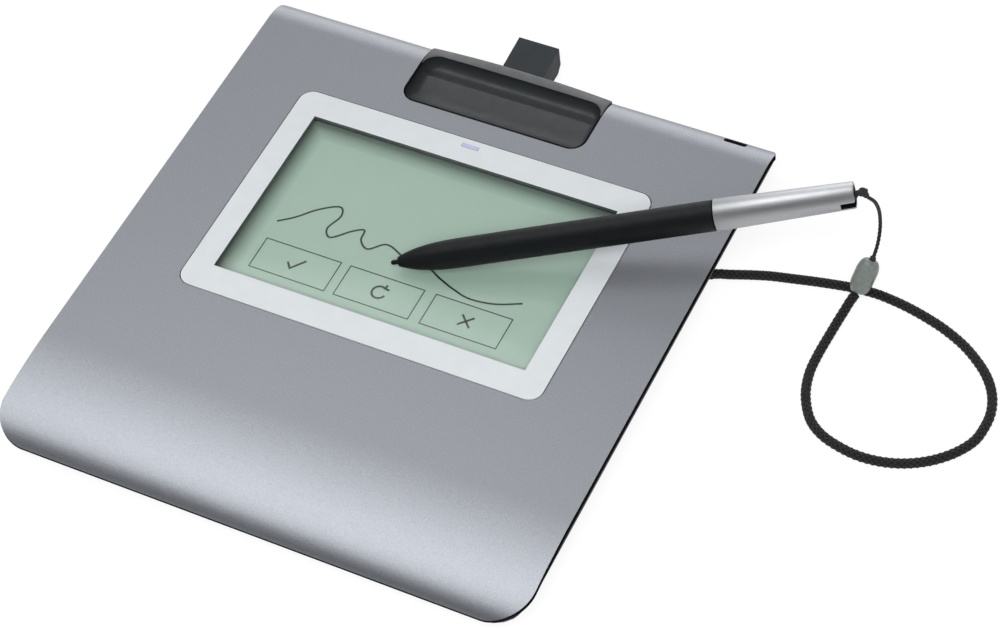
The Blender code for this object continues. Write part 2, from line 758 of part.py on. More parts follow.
def add_case_ribs(case):
    """Cross ribs under the display holder and posts under the main board."""
    half = WINDOW_WIDTH / 2
    for side in (-1, 1):
        middle = WINDOW_Y + side * WINDOW_DEPTH * RIB_PLACE_SHARE
        rib = block(
            f"rib_{side}",
            (-half, middle - RIB_WIDTH / 2, CASE_WALL / 2),
            (half, middle + RIB_WIDTH / 2, HOLDER_BOTTOM - GAP),
        )
        join(case, rib)
    for side, (x, y) in post_places():
        join(case, disc("post_" + side, (x, y), POST_RADIUS, CASE_WALL / 2, BOARD_RISE - GAP))
        hole = disc("post_hole_" + side, (x, y), POST_HOLE_RADIUS, CASE_WALL / 2, BOARD_RISE)
        cut(case, hole)


def post_places():
    across = BOARD_WIDTH / 2 - POST_SIDE_INSET
    y = BOARD_REAR_Y - POST_REAR_INSET
    return (("left", (-across, y)), ("right", (across, y)))


def foot_places():
    across = PAD_WIDTH / 2 - FOOT_SIDE_INSET
    along = PAD_DEPTH / 2 - FOOT_END_INSET
    for row, y in (("front", -along), ("rear", along)):
        for side, x in (("left", -across), ("right", across)):
            yield f"{row}_{side}", (x, y)


def bezel():
    width = WINDOW_WIDTH + 2 * BEZEL_BORDER_X
    depth = WINDOW_DEPTH + 2 * BEZEL_BORDER_Y
    outline = centred_outline(WINDOW_Y, width, depth, BEZEL_CORNER)
    frame = flat_shape("display_frame", outline, BEZEL_BOTTOM, BEZEL_TOP)
    flange_outline = centred_outline(
        WINDOW_Y, width + 2 * FLANGE_REACH, depth + 2 * FLANGE_REACH, BEZEL_CORNER
    )
    flange_bottom = BEZEL_BOTTOM - FLANGE_HEIGHT / 2
    flange_top = BEZEL_BOTTOM + FLANGE_HEIGHT / 2
    join(frame, flat_shape("frame_flange", flange_outline, flange_bottom, flange_top))
    half_x, half_y = WINDOW_WIDTH / 2, WINDOW_DEPTH / 2
    cut(
        frame,
        block(
            "window_cut",
            (-half_x, WINDOW_Y - half_y, 0),
            (half_x, WINDOW_Y + half_y, DECK_HEIGHT + OVERRUN),
        ),
    )
    pocket = centred_outline(
        WINDOW_Y,
        WINDOW_WIDTH + 2 * GLASS_MARGIN + 2 * GAP,
        WINDOW_DEPTH + 2 * GLASS_MARGIN + 2 * GAP,
        GLASS_CORNER,
    )
    cut(frame, flat_shape("glass_pocket", pocket, 0, BEZEL_TOP - BEZEL_LIP))
    light_x, light_y = LIGHT_WIDTH / 2 + GAP, LIGHT_DEPTH / 2 + GAP
    light_hole = block(
        "light_hole",
        (LIGHT_X - light_x, LIGHT_Y - light_y, 0),
        (LIGHT_X + light_x, LIGHT_Y + light_y, DECK_HEIGHT + OVERRUN),
    )
    return part(cut(frame, light_hole), WHITE_FRAME)


def display_stack():
    """The layers under the frame, from the glass down to the steel shield."""
    layers = [
        ("cover_glass", GLASS_MARGIN, GLASS_BOTTOM, GLASS_TOP, CLEAR_GLASS),
        ("display_panel", PANEL_MARGIN, PANEL_BOTTOM, PANEL_TOP, PANEL_GREEN),
        ("sensor_board", SENSOR_MARGIN, SENSOR_BOTTOM, SENSOR_TOP, BOARD_GREEN),
        ("shield_plate", SENSOR_MARGIN, SHIELD_BOTTOM, SHIELD_TOP, STEEL),
    ]
    for name, margin, bottom, top, finish in layers:
        outline = centred_outline(
            WINDOW_Y, WINDOW_WIDTH + 2 * margin, WINDOW_DEPTH + 2 * margin, GLASS_CORNER
        )
        part(flat_shape(name, outline, bottom, top), finish)
    outer = centred_outline(
        WINDOW_Y, WINDOW_WIDTH + 2 * GLASS_MARGIN, WINDOW_DEPTH + 2 * GLASS_MARGIN, GLASS_CORNER
    )
    inner = centred_outline(
        WINDOW_Y,
        WINDOW_WIDTH + 2 * GLASS_MARGIN - 2 * GASKET_WIDTH,
        WINDOW_DEPTH + 2 * GLASS_MARGIN - 2 * GASKET_WIDTH,
        GLASS_CORNER,
    )
    gasket = flat_shape("foam_gasket", outer, GASKET_BOTTOM, GASKET_TOP)
    hole = flat_shape("gasket_hole", inner, GASKET_BOTTOM - OVERRUN, GASKET_TOP + OVERRUN)
    part(cut(gasket, hole), FOAM)


def display_holder():
    """An open tray that carries the display stack and stands on the case's ribs."""
    inside_width = WINDOW_WIDTH + 2 * GLASS_MARGIN + 2 * GAP
    inside_depth = WINDOW_DEPTH + 2 * GLASS_MARGIN + 2 * GAP
    outer = centred_outline(
        WINDOW_Y, inside_width + 2 * HOLDER_WALL, inside_depth + 2 * HOLDER_WALL, BEZEL_CORNER / 2
    )
    inner = centred_outline(WINDOW_Y, inside_width, inside_depth, GLASS_CORNER)
    top = BEZEL_BOTTOM - FLANGE_HEIGHT / 2 - GAP
    holder = flat_shape("display_holder", outer, HOLDER_BOTTOM, top)
    cut(holder, flat_shape("holder_hollow", inner, HOLDER_INSIDE, DECK_HEIGHT))
    for side, x in (("lcd", LCD_FLEX_X), ("sensor", SENSOR_FLEX_X)):
        half = SOCKET_WIDTH / 2 + GAP
        gate = block(
            f"{side}_flex_gate",
            (x - half, HOLDER_REAR_Y - HOLDER_WALL - GAP, HOLDER_INSIDE),
            (x + half, HOLDER_REAR_Y + OVERRUN, DECK_HEIGHT),
        )
        cut(holder, gate)
    return part(holder, DARK_CASE)


def trough_line():
    """Points (y, z) of the pen rest's hollow: a wide trough, a low ridge and a narrow trough."""
    over = DECK_HEIGHT + OVERRUN
    front_low = TROUGH_FRONT_Y + FRONT_TROUGH / 2
    rear_low = RIDGE_Y + REAR_TROUGH / 2
    ridge = TROUGH_BOTTOM + RIDGE_HEIGHT
    line = [(TROUGH_FRONT_Y, over)]
    for step in range(CURVE_STEPS + 1):
        angle = 0.5 * math.pi * step / CURVE_STEPS
        depth = TROUGH_DEPTH * math.sin(angle)
        line.append((front_low - FRONT_TROUGH / 2 * math.cos(angle), DECK_HEIGHT - depth))
    for step in range(1, CORNER_STEPS + 1):
        share = step / CORNER_STEPS
        line.append(
            (front_low + share * (RIDGE_Y - front_low), TROUGH_BOTTOM + RIDGE_HEIGHT * share**2)
        )
    for step in range(1, CORNER_STEPS):
        share = step / CORNER_STEPS
        line.append((RIDGE_Y + share * (rear_low - RIDGE_Y), ridge - RIDGE_HEIGHT * (2 - share) * share))
    for step in range(CURVE_STEPS + 1):
        angle = 0.5 * math.pi * step / CURVE_STEPS
        depth = TROUGH_DEPTH * math.cos(angle)
        line.append((rear_low + REAR_TROUGH / 2 * math.sin(angle), DECK_HEIGHT - depth))
    line.append((TROUGH_REAR_Y, over))
    return line


def pen_tray():
    outline = rounded_outline(
        (-TRAY_WIDTH / 2, TRAY_FRONT_Y), (TRAY_WIDTH / 2, PAD_REAR), TRAY_CORNER, TRAY_BACK_CORNER
    )
    tray = flat_shape("pen_tray", outline, TRAY_BOTTOM, DECK_HEIGHT + OVERRUN)
    rim_start = PAD_REAR - RIM_ROLL
    top = DECK_HEIGHT + 2 * OVERRUN
    line = [(PAD_REAR + OVERRUN, top), (TRAY_FRONT_Y - OVERRUN, top), (TRAY_FRONT_Y - OVERRUN, DECK_HEIGHT)]
    for step in range(CURVE_STEPS + 1):
        out, down = roll(0.5 * math.pi * step / CURVE_STEPS, RIM_ROLL + GAP, RIM_DROP)
        line.append((rim_start + out, DECK_HEIGHT - down))
    line.append((PAD_REAR + OVERRUN, DECK_HEIGHT - RIM_DROP))
    half = TRAY_WIDTH / 2 + OVERRUN
    cut(tray, side_shape("rim_above", line, -half, half))
    end = TRAY_WIDTH / 2 - TROUGH_END
    cut(tray, side_shape("trough", trough_line(), -end, end))
    cut(
        tray,
        block(
            "tray_step",
            (-half, PAD_REAR - TRAY_STEP, 0),
            (half, PAD_REAR + OVERRUN, rear_skirt_bottom()),
        ),
    )
    notch = HOUSING_WIDTH / 2 + GAP
    neck_top = HOUSING_BOTTOM + NECK_HEIGHT + GAP
    cut(
        tray,
        block(
            "tray_notch", (-notch, NECK_FRONT_Y - GAP, 0), (notch, PAD_REAR + OVERRUN, neck_top)
        ),
    )
    return part(tray, TRAY_GREY)


def connector_housing():
    half = HOUSING_WIDTH / 2
    front = PAD_REAR + GAP
    profile = [
        (front, HOUSING_BOTTOM),
        (HOUSING_REAR_Y - HOUSING_CHAMFER, HOUSING_BOTTOM),
        (HOUSING_REAR_Y, HOUSING_BOTTOM + HOUSING_CHAMFER),
        (HOUSING_REAR_Y, DECK_HEIGHT - HOUSING_FILLET),
        (HOUSING_REAR_Y - HOUSING_FILLET, DECK_HEIGHT),
        (front, DECK_HEIGHT),
    ]
    housing = side_shape("connector_housing", profile, -half, half)
    neck_top = HOUSING_BOTTOM + NECK_HEIGHT
    join(
        housing,
        block(
            "neck",
            (-half + GAP / 2, NECK_FRONT_Y, HOUSING_BOTTOM + GAP / 2),
            (half - GAP / 2, front + HOUSING_WALL, neck_top),
        ),
    )
    inner = MOUTH_SPAN / 2
    passage_top = neck_top - HOUSING_WALL
    mouth_front = HOUSING_REAR_Y - MOUTH_DEPTH
    cut(
        housing,
        block(
            "passage",
            (-inner, NECK_FRONT_Y - OVERRUN, MOUTH_BOTTOM),
            (inner, mouth_front + OVERRUN, passage_top),
        ),
        block(
            "plug_mouth",
            (-inner, mouth_front, MOUTH_BOTTOM),
            (inner, HOUSING_REAR_Y + OVERRUN, MOUTH_BOTTOM + MOUTH_HEIGHT),
        ),
    )
    return part(housing, TRAY_GREY)


def receptacle():
    half_x, half_z = RECEPTACLE_WIDTH / 2, RECEPTACLE_HEIGHT / 2
    rear = HOUSING_REAR_Y - MOUTH_DEPTH + HOUSING_WALL
    front = rear - RECEPTACLE_LENGTH
    shell = block(
        "usb_receptacle",
        (-half_x, front, RECEPTACLE_Z - half_z),
        (half_x, rear, RECEPTACLE_Z + half_z),
    )
    wall = RECEPTACLE_SHELL
    cut(
        shell,
        block(
            "receptacle_mouth",
            (wall - half_x, rear - RECEPTACLE_MOUTH, RECEPTACLE_Z - half_z + wall),
            (half_x - wall, rear + OVERRUN, RECEPTACLE_Z + half_z - wall),
        ),
    )
    tongue_x, tongue_z = TONGUE_SHARE * RECEPTACLE_WIDTH, TONGUE_SHARE * half_z
    join(
        shell,
        block(
            "receptacle_tongue",
            (-tongue_x, rear - RECEPTACLE_MOUTH - wall, RECEPTACLE_Z - tongue_z),
            (tongue_x, rear - wall, RECEPTACLE_Z + tongue_z),
        ),
    )
    return part(shell, STEEL)


def lock_plate():
    """A steel plate behind the rear edge, with an open slot under the cover's."""
    half = LOCK_SLOT_WIDTH / 2 + LOCK_PLATE_MARGIN
    rear = PAD_REAR - LOCK_SLOT_DEPTH - GAP
    front = rear - LOCK_PLATE_THICKNESS
    top = DECK_HEIGHT - COVER_WALL - GAP - rear_fall(rear)
    plate = block(
        "lock_plate",
        (LOCK_SLOT_X - half, front, top - LOCK_PLATE_HEIGHT),
        (LOCK_SLOT_X + half, rear, top),
    )
    slot = LOCK_SLOT_WIDTH / 2
    cut(
        plate,
        block(
            "plate_slot",
            (LOCK_SLOT_X - slot, front - OVERRUN, LOCK_SLOT_RISE - LOCK_SLOT_HEIGHT),
            (LOCK_SLOT_X + slot, rear + OVERRUN, DECK_HEIGHT),
        ),
    )
    return part(plate, STEEL)


def main_board():
    half = BOARD_WIDTH / 2
    board = block("main_board", (-half, BOARD_FRONT_Y, BOARD_RISE), (half, BOARD_REAR_Y, BOARD_TOP))
    tongue = BOARD_TONGUE_WIDTH / 2
    tongue_rear = HOUSING_REAR_Y - MOUTH_DEPTH
    join(
        board,
        block(
            "board_tongue",
            (-tongue, BOARD_REAR_Y - OVERRUN, BOARD_RISE),
            (tongue, tongue_rear, BOARD_TOP),
        ),
    )
    for side, (x, y) in post_places():
        hole = BOARD_SCREW_RADIUS + GAP
        cut(board, disc("board_hole_" + side, (x, y), hole, 0, DECK_HEIGHT, SMALL_ROUND_STEPS))
    part(board, BOARD_GREEN)
    chip_front = TRAY_FRONT_Y - CHIP_CLEARANCE - CHIP_SIZE
    chip = block(
        "controller_chip",
        (CHIP_X - CHIP_SIZE, chip_front, BOARD_TOP + GAP),
        (CHIP_X, chip_front + CHIP_SIZE, BOARD_TOP + GAP + CHIP_THICKNESS),
    )
    part(chip, CHIP_BLACK)
    for side, (x, y) in post_places():
        board_screw(f"board_screw_{side}", x, y)


def board_screw(name, x, y):
    seat = BOARD_TOP + GAP
    head = disc(name, (x, y), BOARD_SCREW_HEAD_RADIUS, seat, seat + BOARD_SCREW_HEAD_HEIGHT)
    shank = disc(
        name + "_shank",
        (x, y),
        BOARD_SCREW_RADIUS,
        seat - BOARD_SCREW_LENGTH,
        seat + BOARD_SCREW_HEAD_HEIGHT / 2,
        SMALL_ROUND_STEPS,
    )
    return part(join(head, shank), STEEL)


def flex(name, x, start_z):
    """A thin film that leaves a layer of the stack and drops to its socket on the main board."""
    half = SOCKET_WIDTH * FLEX_WIDTH_SHARE / 2
    socket_front = BOARD_FRONT_Y + SOCKET_SETBACK
    socket_top = BOARD_TOP + GAP + SOCKET_HEIGHT
    start_y = WINDOW_Y + STACK_HALF_DEPTH + GAP
    level = socket_top + GAP
    end_y = socket_front + SOCKET_DEPTH / 2
    upper = [
        (start_y, start_z + FLEX_THICKNESS),
        (start_y + FLEX_BEND, start_z + FLEX_THICKNESS),
        (socket_front, level + FLEX_THICKNESS),
        (end_y, level + FLEX_THICKNESS),
    ]
    lower = [
        (end_y, level),
        (socket_front, level),
        (start_y + FLEX_BEND, start_z),
        (start_y, start_z),
    ]
    part(side_shape(name + "_flex", upper + lower, x - half, x + half), FLEX_AMBER)
    socket = block(
        name + "_socket",
        (x - SOCKET_WIDTH / 2, socket_front, BOARD_TOP + GAP),
        (x + SOCKET_WIDTH / 2, socket_front + SOCKET_DEPTH, socket_top),
    )
    part(socket, CHIP_BLACK)


def status_light():
    half_x, half_y = LIGHT_WIDTH / 2, LIGHT_DEPTH / 2
    led_top = BOARD_TOP + GAP + LED_HEIGHT
    pipe = block(
        "light_pipe",
        (LIGHT_X - half_x, LIGHT_Y - half_y, led_top + GAP),
        (LIGHT_X + half_x, LIGHT_Y + half_y, BEZEL_TOP),
    )
    flange_top = BEZEL_BOTTOM - FLANGE_HEIGHT / 2 - GAP
    reach = LIGHT_FLANGE
    flange = block(
        "light_pipe_flange",
        (LIGHT_X - half_x - reach, LIGHT_Y - half_y, flange_top - LIGHT_FLANGE_HEIGHT),
        (LIGHT_X + half_x + reach, LIGHT_Y + half_y + reach, flange_top),
    )
    part(join(pipe, flange), LIGHT_BLUE)
    chip_x, chip_y = LED_WIDTH / 2, LED_DEPTH / 2
    led = block(
        "status_led",
        (LIGHT_X - chip_x, LIGHT_Y - chip_y, BOARD_TOP + GAP),
        (LIGHT_X + chip_x, LIGHT_Y + chip_y, led_top),
    )
    part(led, LIGHT_BLUE)


def case_screws():
    for name, (x, y) in screw_places():
        seat = COUNTERBORE_DEPTH - GAP
        head_bottom = seat - SCREW_HEAD_HEIGHT
        screw = disc("case_screw_" + name, (x, y), SCREW_HEAD_RADIUS, head_bottom, seat)
        shank_bottom = seat - SCREW_HEAD_HEIGHT / 2
        top = tower_top() - COUNTERBORE_DEPTH / 2 + SCREW_LENGTH
        shank = disc("shank_" + name, (x, y), SCREW_RADIUS, shank_bottom, top, SMALL_ROUND_STEPS)
        part(join(screw, shank), STEEL)


def feet():
    for name, (x, y) in foot_places():
        foot = disc("foot_" + name, (x, y), FOOT_RADIUS, -FOOT_STANDOFF, FOOT_POCKET - GAP)
        bevel = foot.modifiers.new("bevel", "BEVEL")
        bevel.width = FOOT_FILLET
        bevel.segments = 2
        part(foot, BLACK_RUBBER)


def turned(name, profile, steps=ROUND_STEPS):
    """A body of revolution about +Z through points (radius, height), the last at the top or on the axis."""
    mesh = bpy.data.meshes.new(name)
    bm = bmesh.new()
    points = [bm.verts.new((radius, 0, height)) for radius, height in profile]
    for start, end in zip(points, points[1:]):
        bm.edges.new((start, end))
    bmesh.ops.spin(
        bm,
        geom=bm.verts[:] + bm.edges[:],
        cent=(0, 0, 0),
        axis=(0, 0, 1),
        angle=2 * math.pi,
        steps=steps,
        use_merge=True,
    )
    bm.to_mesh(mesh)
    bm.free()
    tidy_mesh(mesh)
    return bpy.data.objects.new(name, mesh)


def pen_frame():
    """An empty at the nib's tip whose +Z runs up the pen, +X level and +Y up."""
    frame = bpy.data.objects.new("pen_frame", None)
    PARTS.objects.link(frame)
    level, rise = math.cos(PEN_ELEVATION), math.sin(PEN_ELEVATION)
    along = Vector((level * math.cos(PEN_AZIMUTH), level * math.sin(PEN_AZIMUTH), rise))
    across = Vector((math.sin(PEN_AZIMUTH), -math.cos(PEN_AZIMUTH), 0))
    up = along.cross(across)
    turn = Matrix((across, up, along)).transposed().to_4x4()
    frame.matrix_world = Matrix.Translation(PEN_TIP) @ turn
    return frame


def on_pen(obj, finish):
    obj.parent = PEN_FRAME
    return part(obj, finish)


def nose_radius(height):
    share = min((height - NOSE_START) / NOSE_LENGTH, 1)
    return NOSE_MOUTH_RADIUS + (GRIP_RADIUS - NOSE_MOUTH_RADIUS) * (1 - (1 - share) ** NOSE_POWER)


def tail_radius(height):
    """The rear barrel's radius, which tapers to its end."""
    share = (height - GRIP_END) / (PEN_LENGTH - GRIP_END)
    return TAIL_RADIUS + share * (TAIL_END_RADIUS - TAIL_RADIUS)


def pen_grip():
    bore = GRIP_RADIUS - GRIP_WALL
    nib_hole = NIB_RADIUS + GAP
    bore_start = CORE_START - GAP
    outer = []
    for step in range(NOSE_STEPS + 1):
        height = NOSE_START + NOSE_LENGTH * (step / NOSE_STEPS) ** 1.5
        outer.append((nose_radius(height), height))
    outer.append((GRIP_END_RADIUS, GRIP_END))
    spigot = tail_radius(GRIP_END + TAIL_SPIGOT) - TAIL_WALL - GAP
    outer += [(spigot, GRIP_END), (spigot, GRIP_END + TAIL_SPIGOT)]
    neck_bore = min(bore, spigot - GRIP_WALL / 2)
    inner = [(neck_bore, GRIP_END + TAIL_SPIGOT), (neck_bore, GRIP_END - TAIL_SPIGOT)]
    inner += [(bore, GRIP_END - 2 * TAIL_SPIGOT), (bore, NOSE_START + NOSE_LENGTH)]
    bore_mouth = min(bore, nose_radius(bore_start) - GRIP_WALL / 2)
    inner += [(bore_mouth, bore_start), (nib_hole, bore_start), (nib_hole, NOSE_START)]
    profile = outer + inner + [outer[0]]
    return on_pen(turned("pen_grip", profile), PEN_BLACK)


def pen_tail():
    start = GRIP_END + GAP
    bore = TAIL_END_RADIUS - TAIL_WALL
    profile = [
        (tail_radius(start) - TAIL_WALL, start),
        (tail_radius(start), start),
        (tail_radius(PEN_LENGTH - TAIL_CHAMFER), PEN_LENGTH - TAIL_CHAMFER),
        (TAIL_END_RADIUS - TAIL_CHAMFER, PEN_LENGTH),
        (bore, PEN_LENGTH),
        (tail_radius(start) - TAIL_WALL, start),
    ]
    tail = turned("pen_tail", profile)
    slot = block(
        "tail_slot",
        (bore / 2, -TAIL_SLOT_WIDTH / 2, PEN_LENGTH - TAIL_SLOT_LENGTH),
        (TAIL_RADIUS + OVERRUN, TAIL_SLOT_WIDTH / 2, PEN_LENGTH + OVERRUN),
    )
    slot.parent = PEN_FRAME
    cut(tail, slot)
    return on_pen(tail, PEN_SILVER)


def solid_round(name, radius, start, end, finish, steps=SMALL_ROUND_STEPS):
    return on_pen(disc(name, (0, 0), radius, start, end, steps), finish)


def tube(name, outer, inner, start, end, finish):
    profile = [(inner, start), (outer, start), (outer, end), (inner, end), (inner, start)]
    return on_pen(turned(name, profile, SMALL_ROUND_STEPS), finish)


def nib():
    profile = [(0, 0)]
    for step in range(1, NIB_ROUND_STEPS + 1):
        angle = 0.5 * math.pi * step / NIB_ROUND_STEPS
        profile.append((NIB_RADIUS * math.sin(angle), NIB_RADIUS * (1 - math.cos(angle))))
    profile += [(NIB_RADIUS, NIB_LENGTH), (0, NIB_LENGTH)]
    return on_pen(turned("nib", profile, SMALL_ROUND_STEPS), PEN_BLACK)


def pen_inside():
    """The sensing parts that sit behind the nib, and the plug that closes the barrel."""
    tube(
        "ferrite_core",
        CORE_RADIUS,
        NIB_RADIUS + GAP,
        CORE_START,
        CORE_START + CORE_LENGTH,
        FERRITE,
    )
    sleeve = CORE_RADIUS + GAP
    tube("pen_coil", sleeve + COIL_WALL, sleeve, COIL_START, COIL_START + COIL_LENGTH, COPPER)
    pressure_end = PRESSURE_START + PRESSURE_LENGTH
    solid_round("pressure_sensor", PRESSURE_RADIUS, PRESSURE_START, pressure_end, CHIP_BLACK)
    half = PEN_BOARD_WIDTH / 2
    board = block(
        "pen_circuit_board",
        (-half, -PEN_BOARD_THICKNESS / 2, PEN_BOARD_START),
        (half, PEN_BOARD_THICKNESS / 2, PEN_BOARD_START + PEN_BOARD_LENGTH),
    )
    on_pen(board, BOARD_GREEN)
    plug_radius = tail_radius(PLUG_START + PLUG_LENGTH) - TAIL_WALL - GAP
    solid_round(
        "pen_end_plug", plug_radius, PLUG_START, PLUG_START + PLUG_LENGTH, CHIP_BLACK, ROUND_STEPS
    )
    pin = disc("lanyard_pin", (0, 0), PIN_RADIUS, -plug_radius, plug_radius, SMALL_ROUND_STEPS)
    upright = Matrix.Rotation(math.pi / 2, 4, "X")
    pin.data.transform(Matrix.Translation((0, 0, PEN_LENGTH - PIN_SETBACK)) @ upright)
    on_pen(pin, STEEL)


def tube_along(name, points, radius, cyclic=False):
    """A round tube through the points, with closed ends unless it is a ring."""
    curve = bpy.data.curves.new(name, "CURVE")
    curve.dimensions = "3D"
    curve.bevel_depth = radius
    curve.bevel_resolution = CORD_SIDES_RESOLUTION
    curve.use_fill_caps = not cyclic
    spline = curve.splines.new("POLY")
    spline.points.add(len(points) - 1)
    for place, point in zip(spline.points, points):
        place.co = (*point, 1)
    spline.use_cyclic_u = cyclic
    return curve_to_mesh(name, curve)


def smooth_route(route, step):
    """Points about step apart on a smooth curve through the route's own points."""
    points = [Vector(point) for point in route]
    ends = [2 * points[0] - points[1]] + points + [2 * points[-1] - points[-2]]
    fine = [points[0]]
    for before, start, end, after in zip(ends, ends[1:], ends[2:], ends[3:]):
        count = max(1, round((end - start).length / step))
        for index in range(1, count + 1):
            t = index / count
            fine.append(
                0.5
                * (
                    2 * start
                    + (end - before) * t
                    + (2 * before - 5 * start + 4 * end - after) * t**2
                    + (3 * start - before - 3 * end + after) * t**3
                )
            )
    return fine


def tether():
    cord_points = smooth_route(CORD_ROUTE, CORD_STEP)
    part(tube_along("tether_cord", cord_points, CORD_DIAMETER / 2), CORD_BLACK)
    front, aim = Vector(BEAD_FRONT), Vector(BEAD_AIM)
    way = (aim - front).normalized()
    profile = [(0, 0), (BEAD_END_RADIUS, 0)]
    bulge = BEAD_RADIUS - BEAD_END_RADIUS
    for step in range(1, BEAD_STEPS + 1):
        angle = 0.5 * math.pi * step / BEAD_STEPS
        profile.append((BEAD_END_RADIUS + bulge * math.sin(angle), BEAD_TAPER * (1 - math.cos(angle))))
    profile += [(radius, BEAD_LENGTH - height) for radius, height in reversed(profile)]
    part(aimed(turned("cord_bead", profile), front, way), BEAD_GREY)
    string_points = smooth_route(STRING_ROUTE, STRING_STEP)
    part(tube_along("pen_string", string_points, STRING_DIAMETER / 2), CORD_BLACK)


def string_end():
    """The loop of string round the pin in the pen's end, and the knot behind it."""
    pin_height = PEN_LENGTH - PIN_SETBACK
    straight = LOOP_HALF_LENGTH - LOOP_HALF_WIDTH + PIN_RADIUS
    ring = []
    for step in range(ROUND_STEPS):
        angle = 2 * math.pi * step / ROUND_STEPS
        shift = straight if math.sin(angle) >= 0 else 0
        ring.append(
            (
                LOOP_HALF_WIDTH * math.cos(angle),
                0,
                pin_height + shift + LOOP_HALF_WIDTH * math.sin(angle),
            )
        )
    on_pen(tube_along("string_loop", ring, LOOP_RADIUS, cyclic=True), CORD_BLACK)
    loop_end = pin_height + straight + LOOP_HALF_WIDTH + LOOP_RADIUS
    knot_height = loop_end + GAP + KNOT_RADIUS
    mesh = bpy.data.meshes.new("string_knot")
    bm = bmesh.new()
    bmesh.ops.create_uvsphere(bm, u_segments=SMALL_ROUND_STEPS, v_segments=8, radius=KNOT_RADIUS)
    bm.to_mesh(mesh)
    bm.free()
    mesh.transform(Matrix.Translation((0, 0, knot_height)))
    on_pen(bpy.data.objects.new("string_knot", mesh), CORD_BLACK)


def cord_anchor():
    """The grommet in the case's right side, and the crimp that holds the cord's end inside."""
    mouth, way = grommet_frame()
    end = -GAP
    nose_radius_out = GROMMET_TAPER_SHARE * GROMMET_RADIUS
    body_length = UNDERCUT
    profile = [
        (0, end),
        (nose_radius_out, end),
        (GROMMET_RADIUS, end - GROMMET_NOSE),
        (GROMMET_RADIUS, end - body_length),
        (0, end - body_length),
    ]
    part(aimed(turned("cord_grommet", profile, SMALL_ROUND_STEPS), mouth, way), BLACK_RUBBER)
    anchor_top = end - body_length - GAP
    anchor = disc(
        "cord_anchor",
        (0, 0),
        ANCHOR_RADIUS,
        anchor_top - ANCHOR_LENGTH,
        anchor_top,
        SMALL_ROUND_STEPS,
    )
    part(aimed(anchor, mouth, way), STEEL)


def smooth_round_pieces():
    """Rounds the shading of every piece, and keeps its edges crisp."""
    for obj in PARTS.objects:
        if obj.type == "MESH":
            obj.data.shade_smooth()
            obj.data.set_sharp_from_angle(angle=SMOOTH_ANGLE)


clear_scene()
PARTS = collection("signature_pad")
CUTTERS = collection("cutters")
PEN_FRAME = pen_frame()
top_cover()
bottom_case()
bezel()
display_stack()
display_holder()
pen_tray()
connector_housing()
receptacle()
lock_plate()
main_board()
flex("lcd", LCD_FLEX_X, PANEL_BOTTOM)
flex("sensor", SENSOR_FLEX_X, SENSOR_BOTTOM)
status_light()
case_screws()
feet()
pen_grip()
pen_tail()
nib()
pen_inside()
string_end()
cord_anchor()
tether()
smooth_round_pieces()
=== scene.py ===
from math import cos, hypot, pi, radians, sin, sqrt

import bmesh
import bpy
from mathutils import Matrix, Vector
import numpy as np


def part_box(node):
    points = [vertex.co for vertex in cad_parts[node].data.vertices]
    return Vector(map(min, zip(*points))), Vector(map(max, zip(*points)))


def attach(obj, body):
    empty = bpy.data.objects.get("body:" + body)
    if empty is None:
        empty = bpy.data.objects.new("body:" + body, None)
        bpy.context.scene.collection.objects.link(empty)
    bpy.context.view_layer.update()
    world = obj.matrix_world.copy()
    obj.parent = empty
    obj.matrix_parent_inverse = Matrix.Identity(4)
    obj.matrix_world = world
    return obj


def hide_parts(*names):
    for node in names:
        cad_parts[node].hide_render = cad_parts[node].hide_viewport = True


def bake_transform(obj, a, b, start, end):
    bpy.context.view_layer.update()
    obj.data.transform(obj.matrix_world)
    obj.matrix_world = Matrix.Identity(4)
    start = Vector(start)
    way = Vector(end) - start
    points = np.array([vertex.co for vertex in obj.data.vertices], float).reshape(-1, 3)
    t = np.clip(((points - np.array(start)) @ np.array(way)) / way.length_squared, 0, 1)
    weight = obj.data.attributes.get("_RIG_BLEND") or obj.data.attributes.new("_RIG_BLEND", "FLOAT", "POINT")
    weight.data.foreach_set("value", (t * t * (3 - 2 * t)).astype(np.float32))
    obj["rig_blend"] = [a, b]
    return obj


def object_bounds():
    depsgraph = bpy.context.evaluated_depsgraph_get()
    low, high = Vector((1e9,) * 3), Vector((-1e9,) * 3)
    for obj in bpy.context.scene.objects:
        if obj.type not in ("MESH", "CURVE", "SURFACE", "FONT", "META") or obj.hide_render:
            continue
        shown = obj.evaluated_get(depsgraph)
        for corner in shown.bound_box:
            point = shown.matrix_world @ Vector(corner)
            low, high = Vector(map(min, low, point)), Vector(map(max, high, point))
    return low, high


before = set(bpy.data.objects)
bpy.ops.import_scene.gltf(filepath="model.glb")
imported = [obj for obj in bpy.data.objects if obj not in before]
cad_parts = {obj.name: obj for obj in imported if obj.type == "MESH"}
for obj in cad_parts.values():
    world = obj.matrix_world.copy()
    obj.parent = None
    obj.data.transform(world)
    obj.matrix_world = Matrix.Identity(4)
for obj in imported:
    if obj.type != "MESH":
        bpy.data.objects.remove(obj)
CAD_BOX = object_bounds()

# The camera, where the photograph was taken from. The picture is 1000 by 629 pixels.
PICTURE_WIDTH = 1000
FOCAL_PIXELS = 2841.63
SENSOR_MM = 36
CAMERA_PLACE = (0.2916, -0.40208, 0.61905)
CAMERA_AZIMUTH = radians(32.597436)
CAMERA_ELEVATION = radians(51.78997408)
CAMERA_ROLL = radians(-8.27085016)

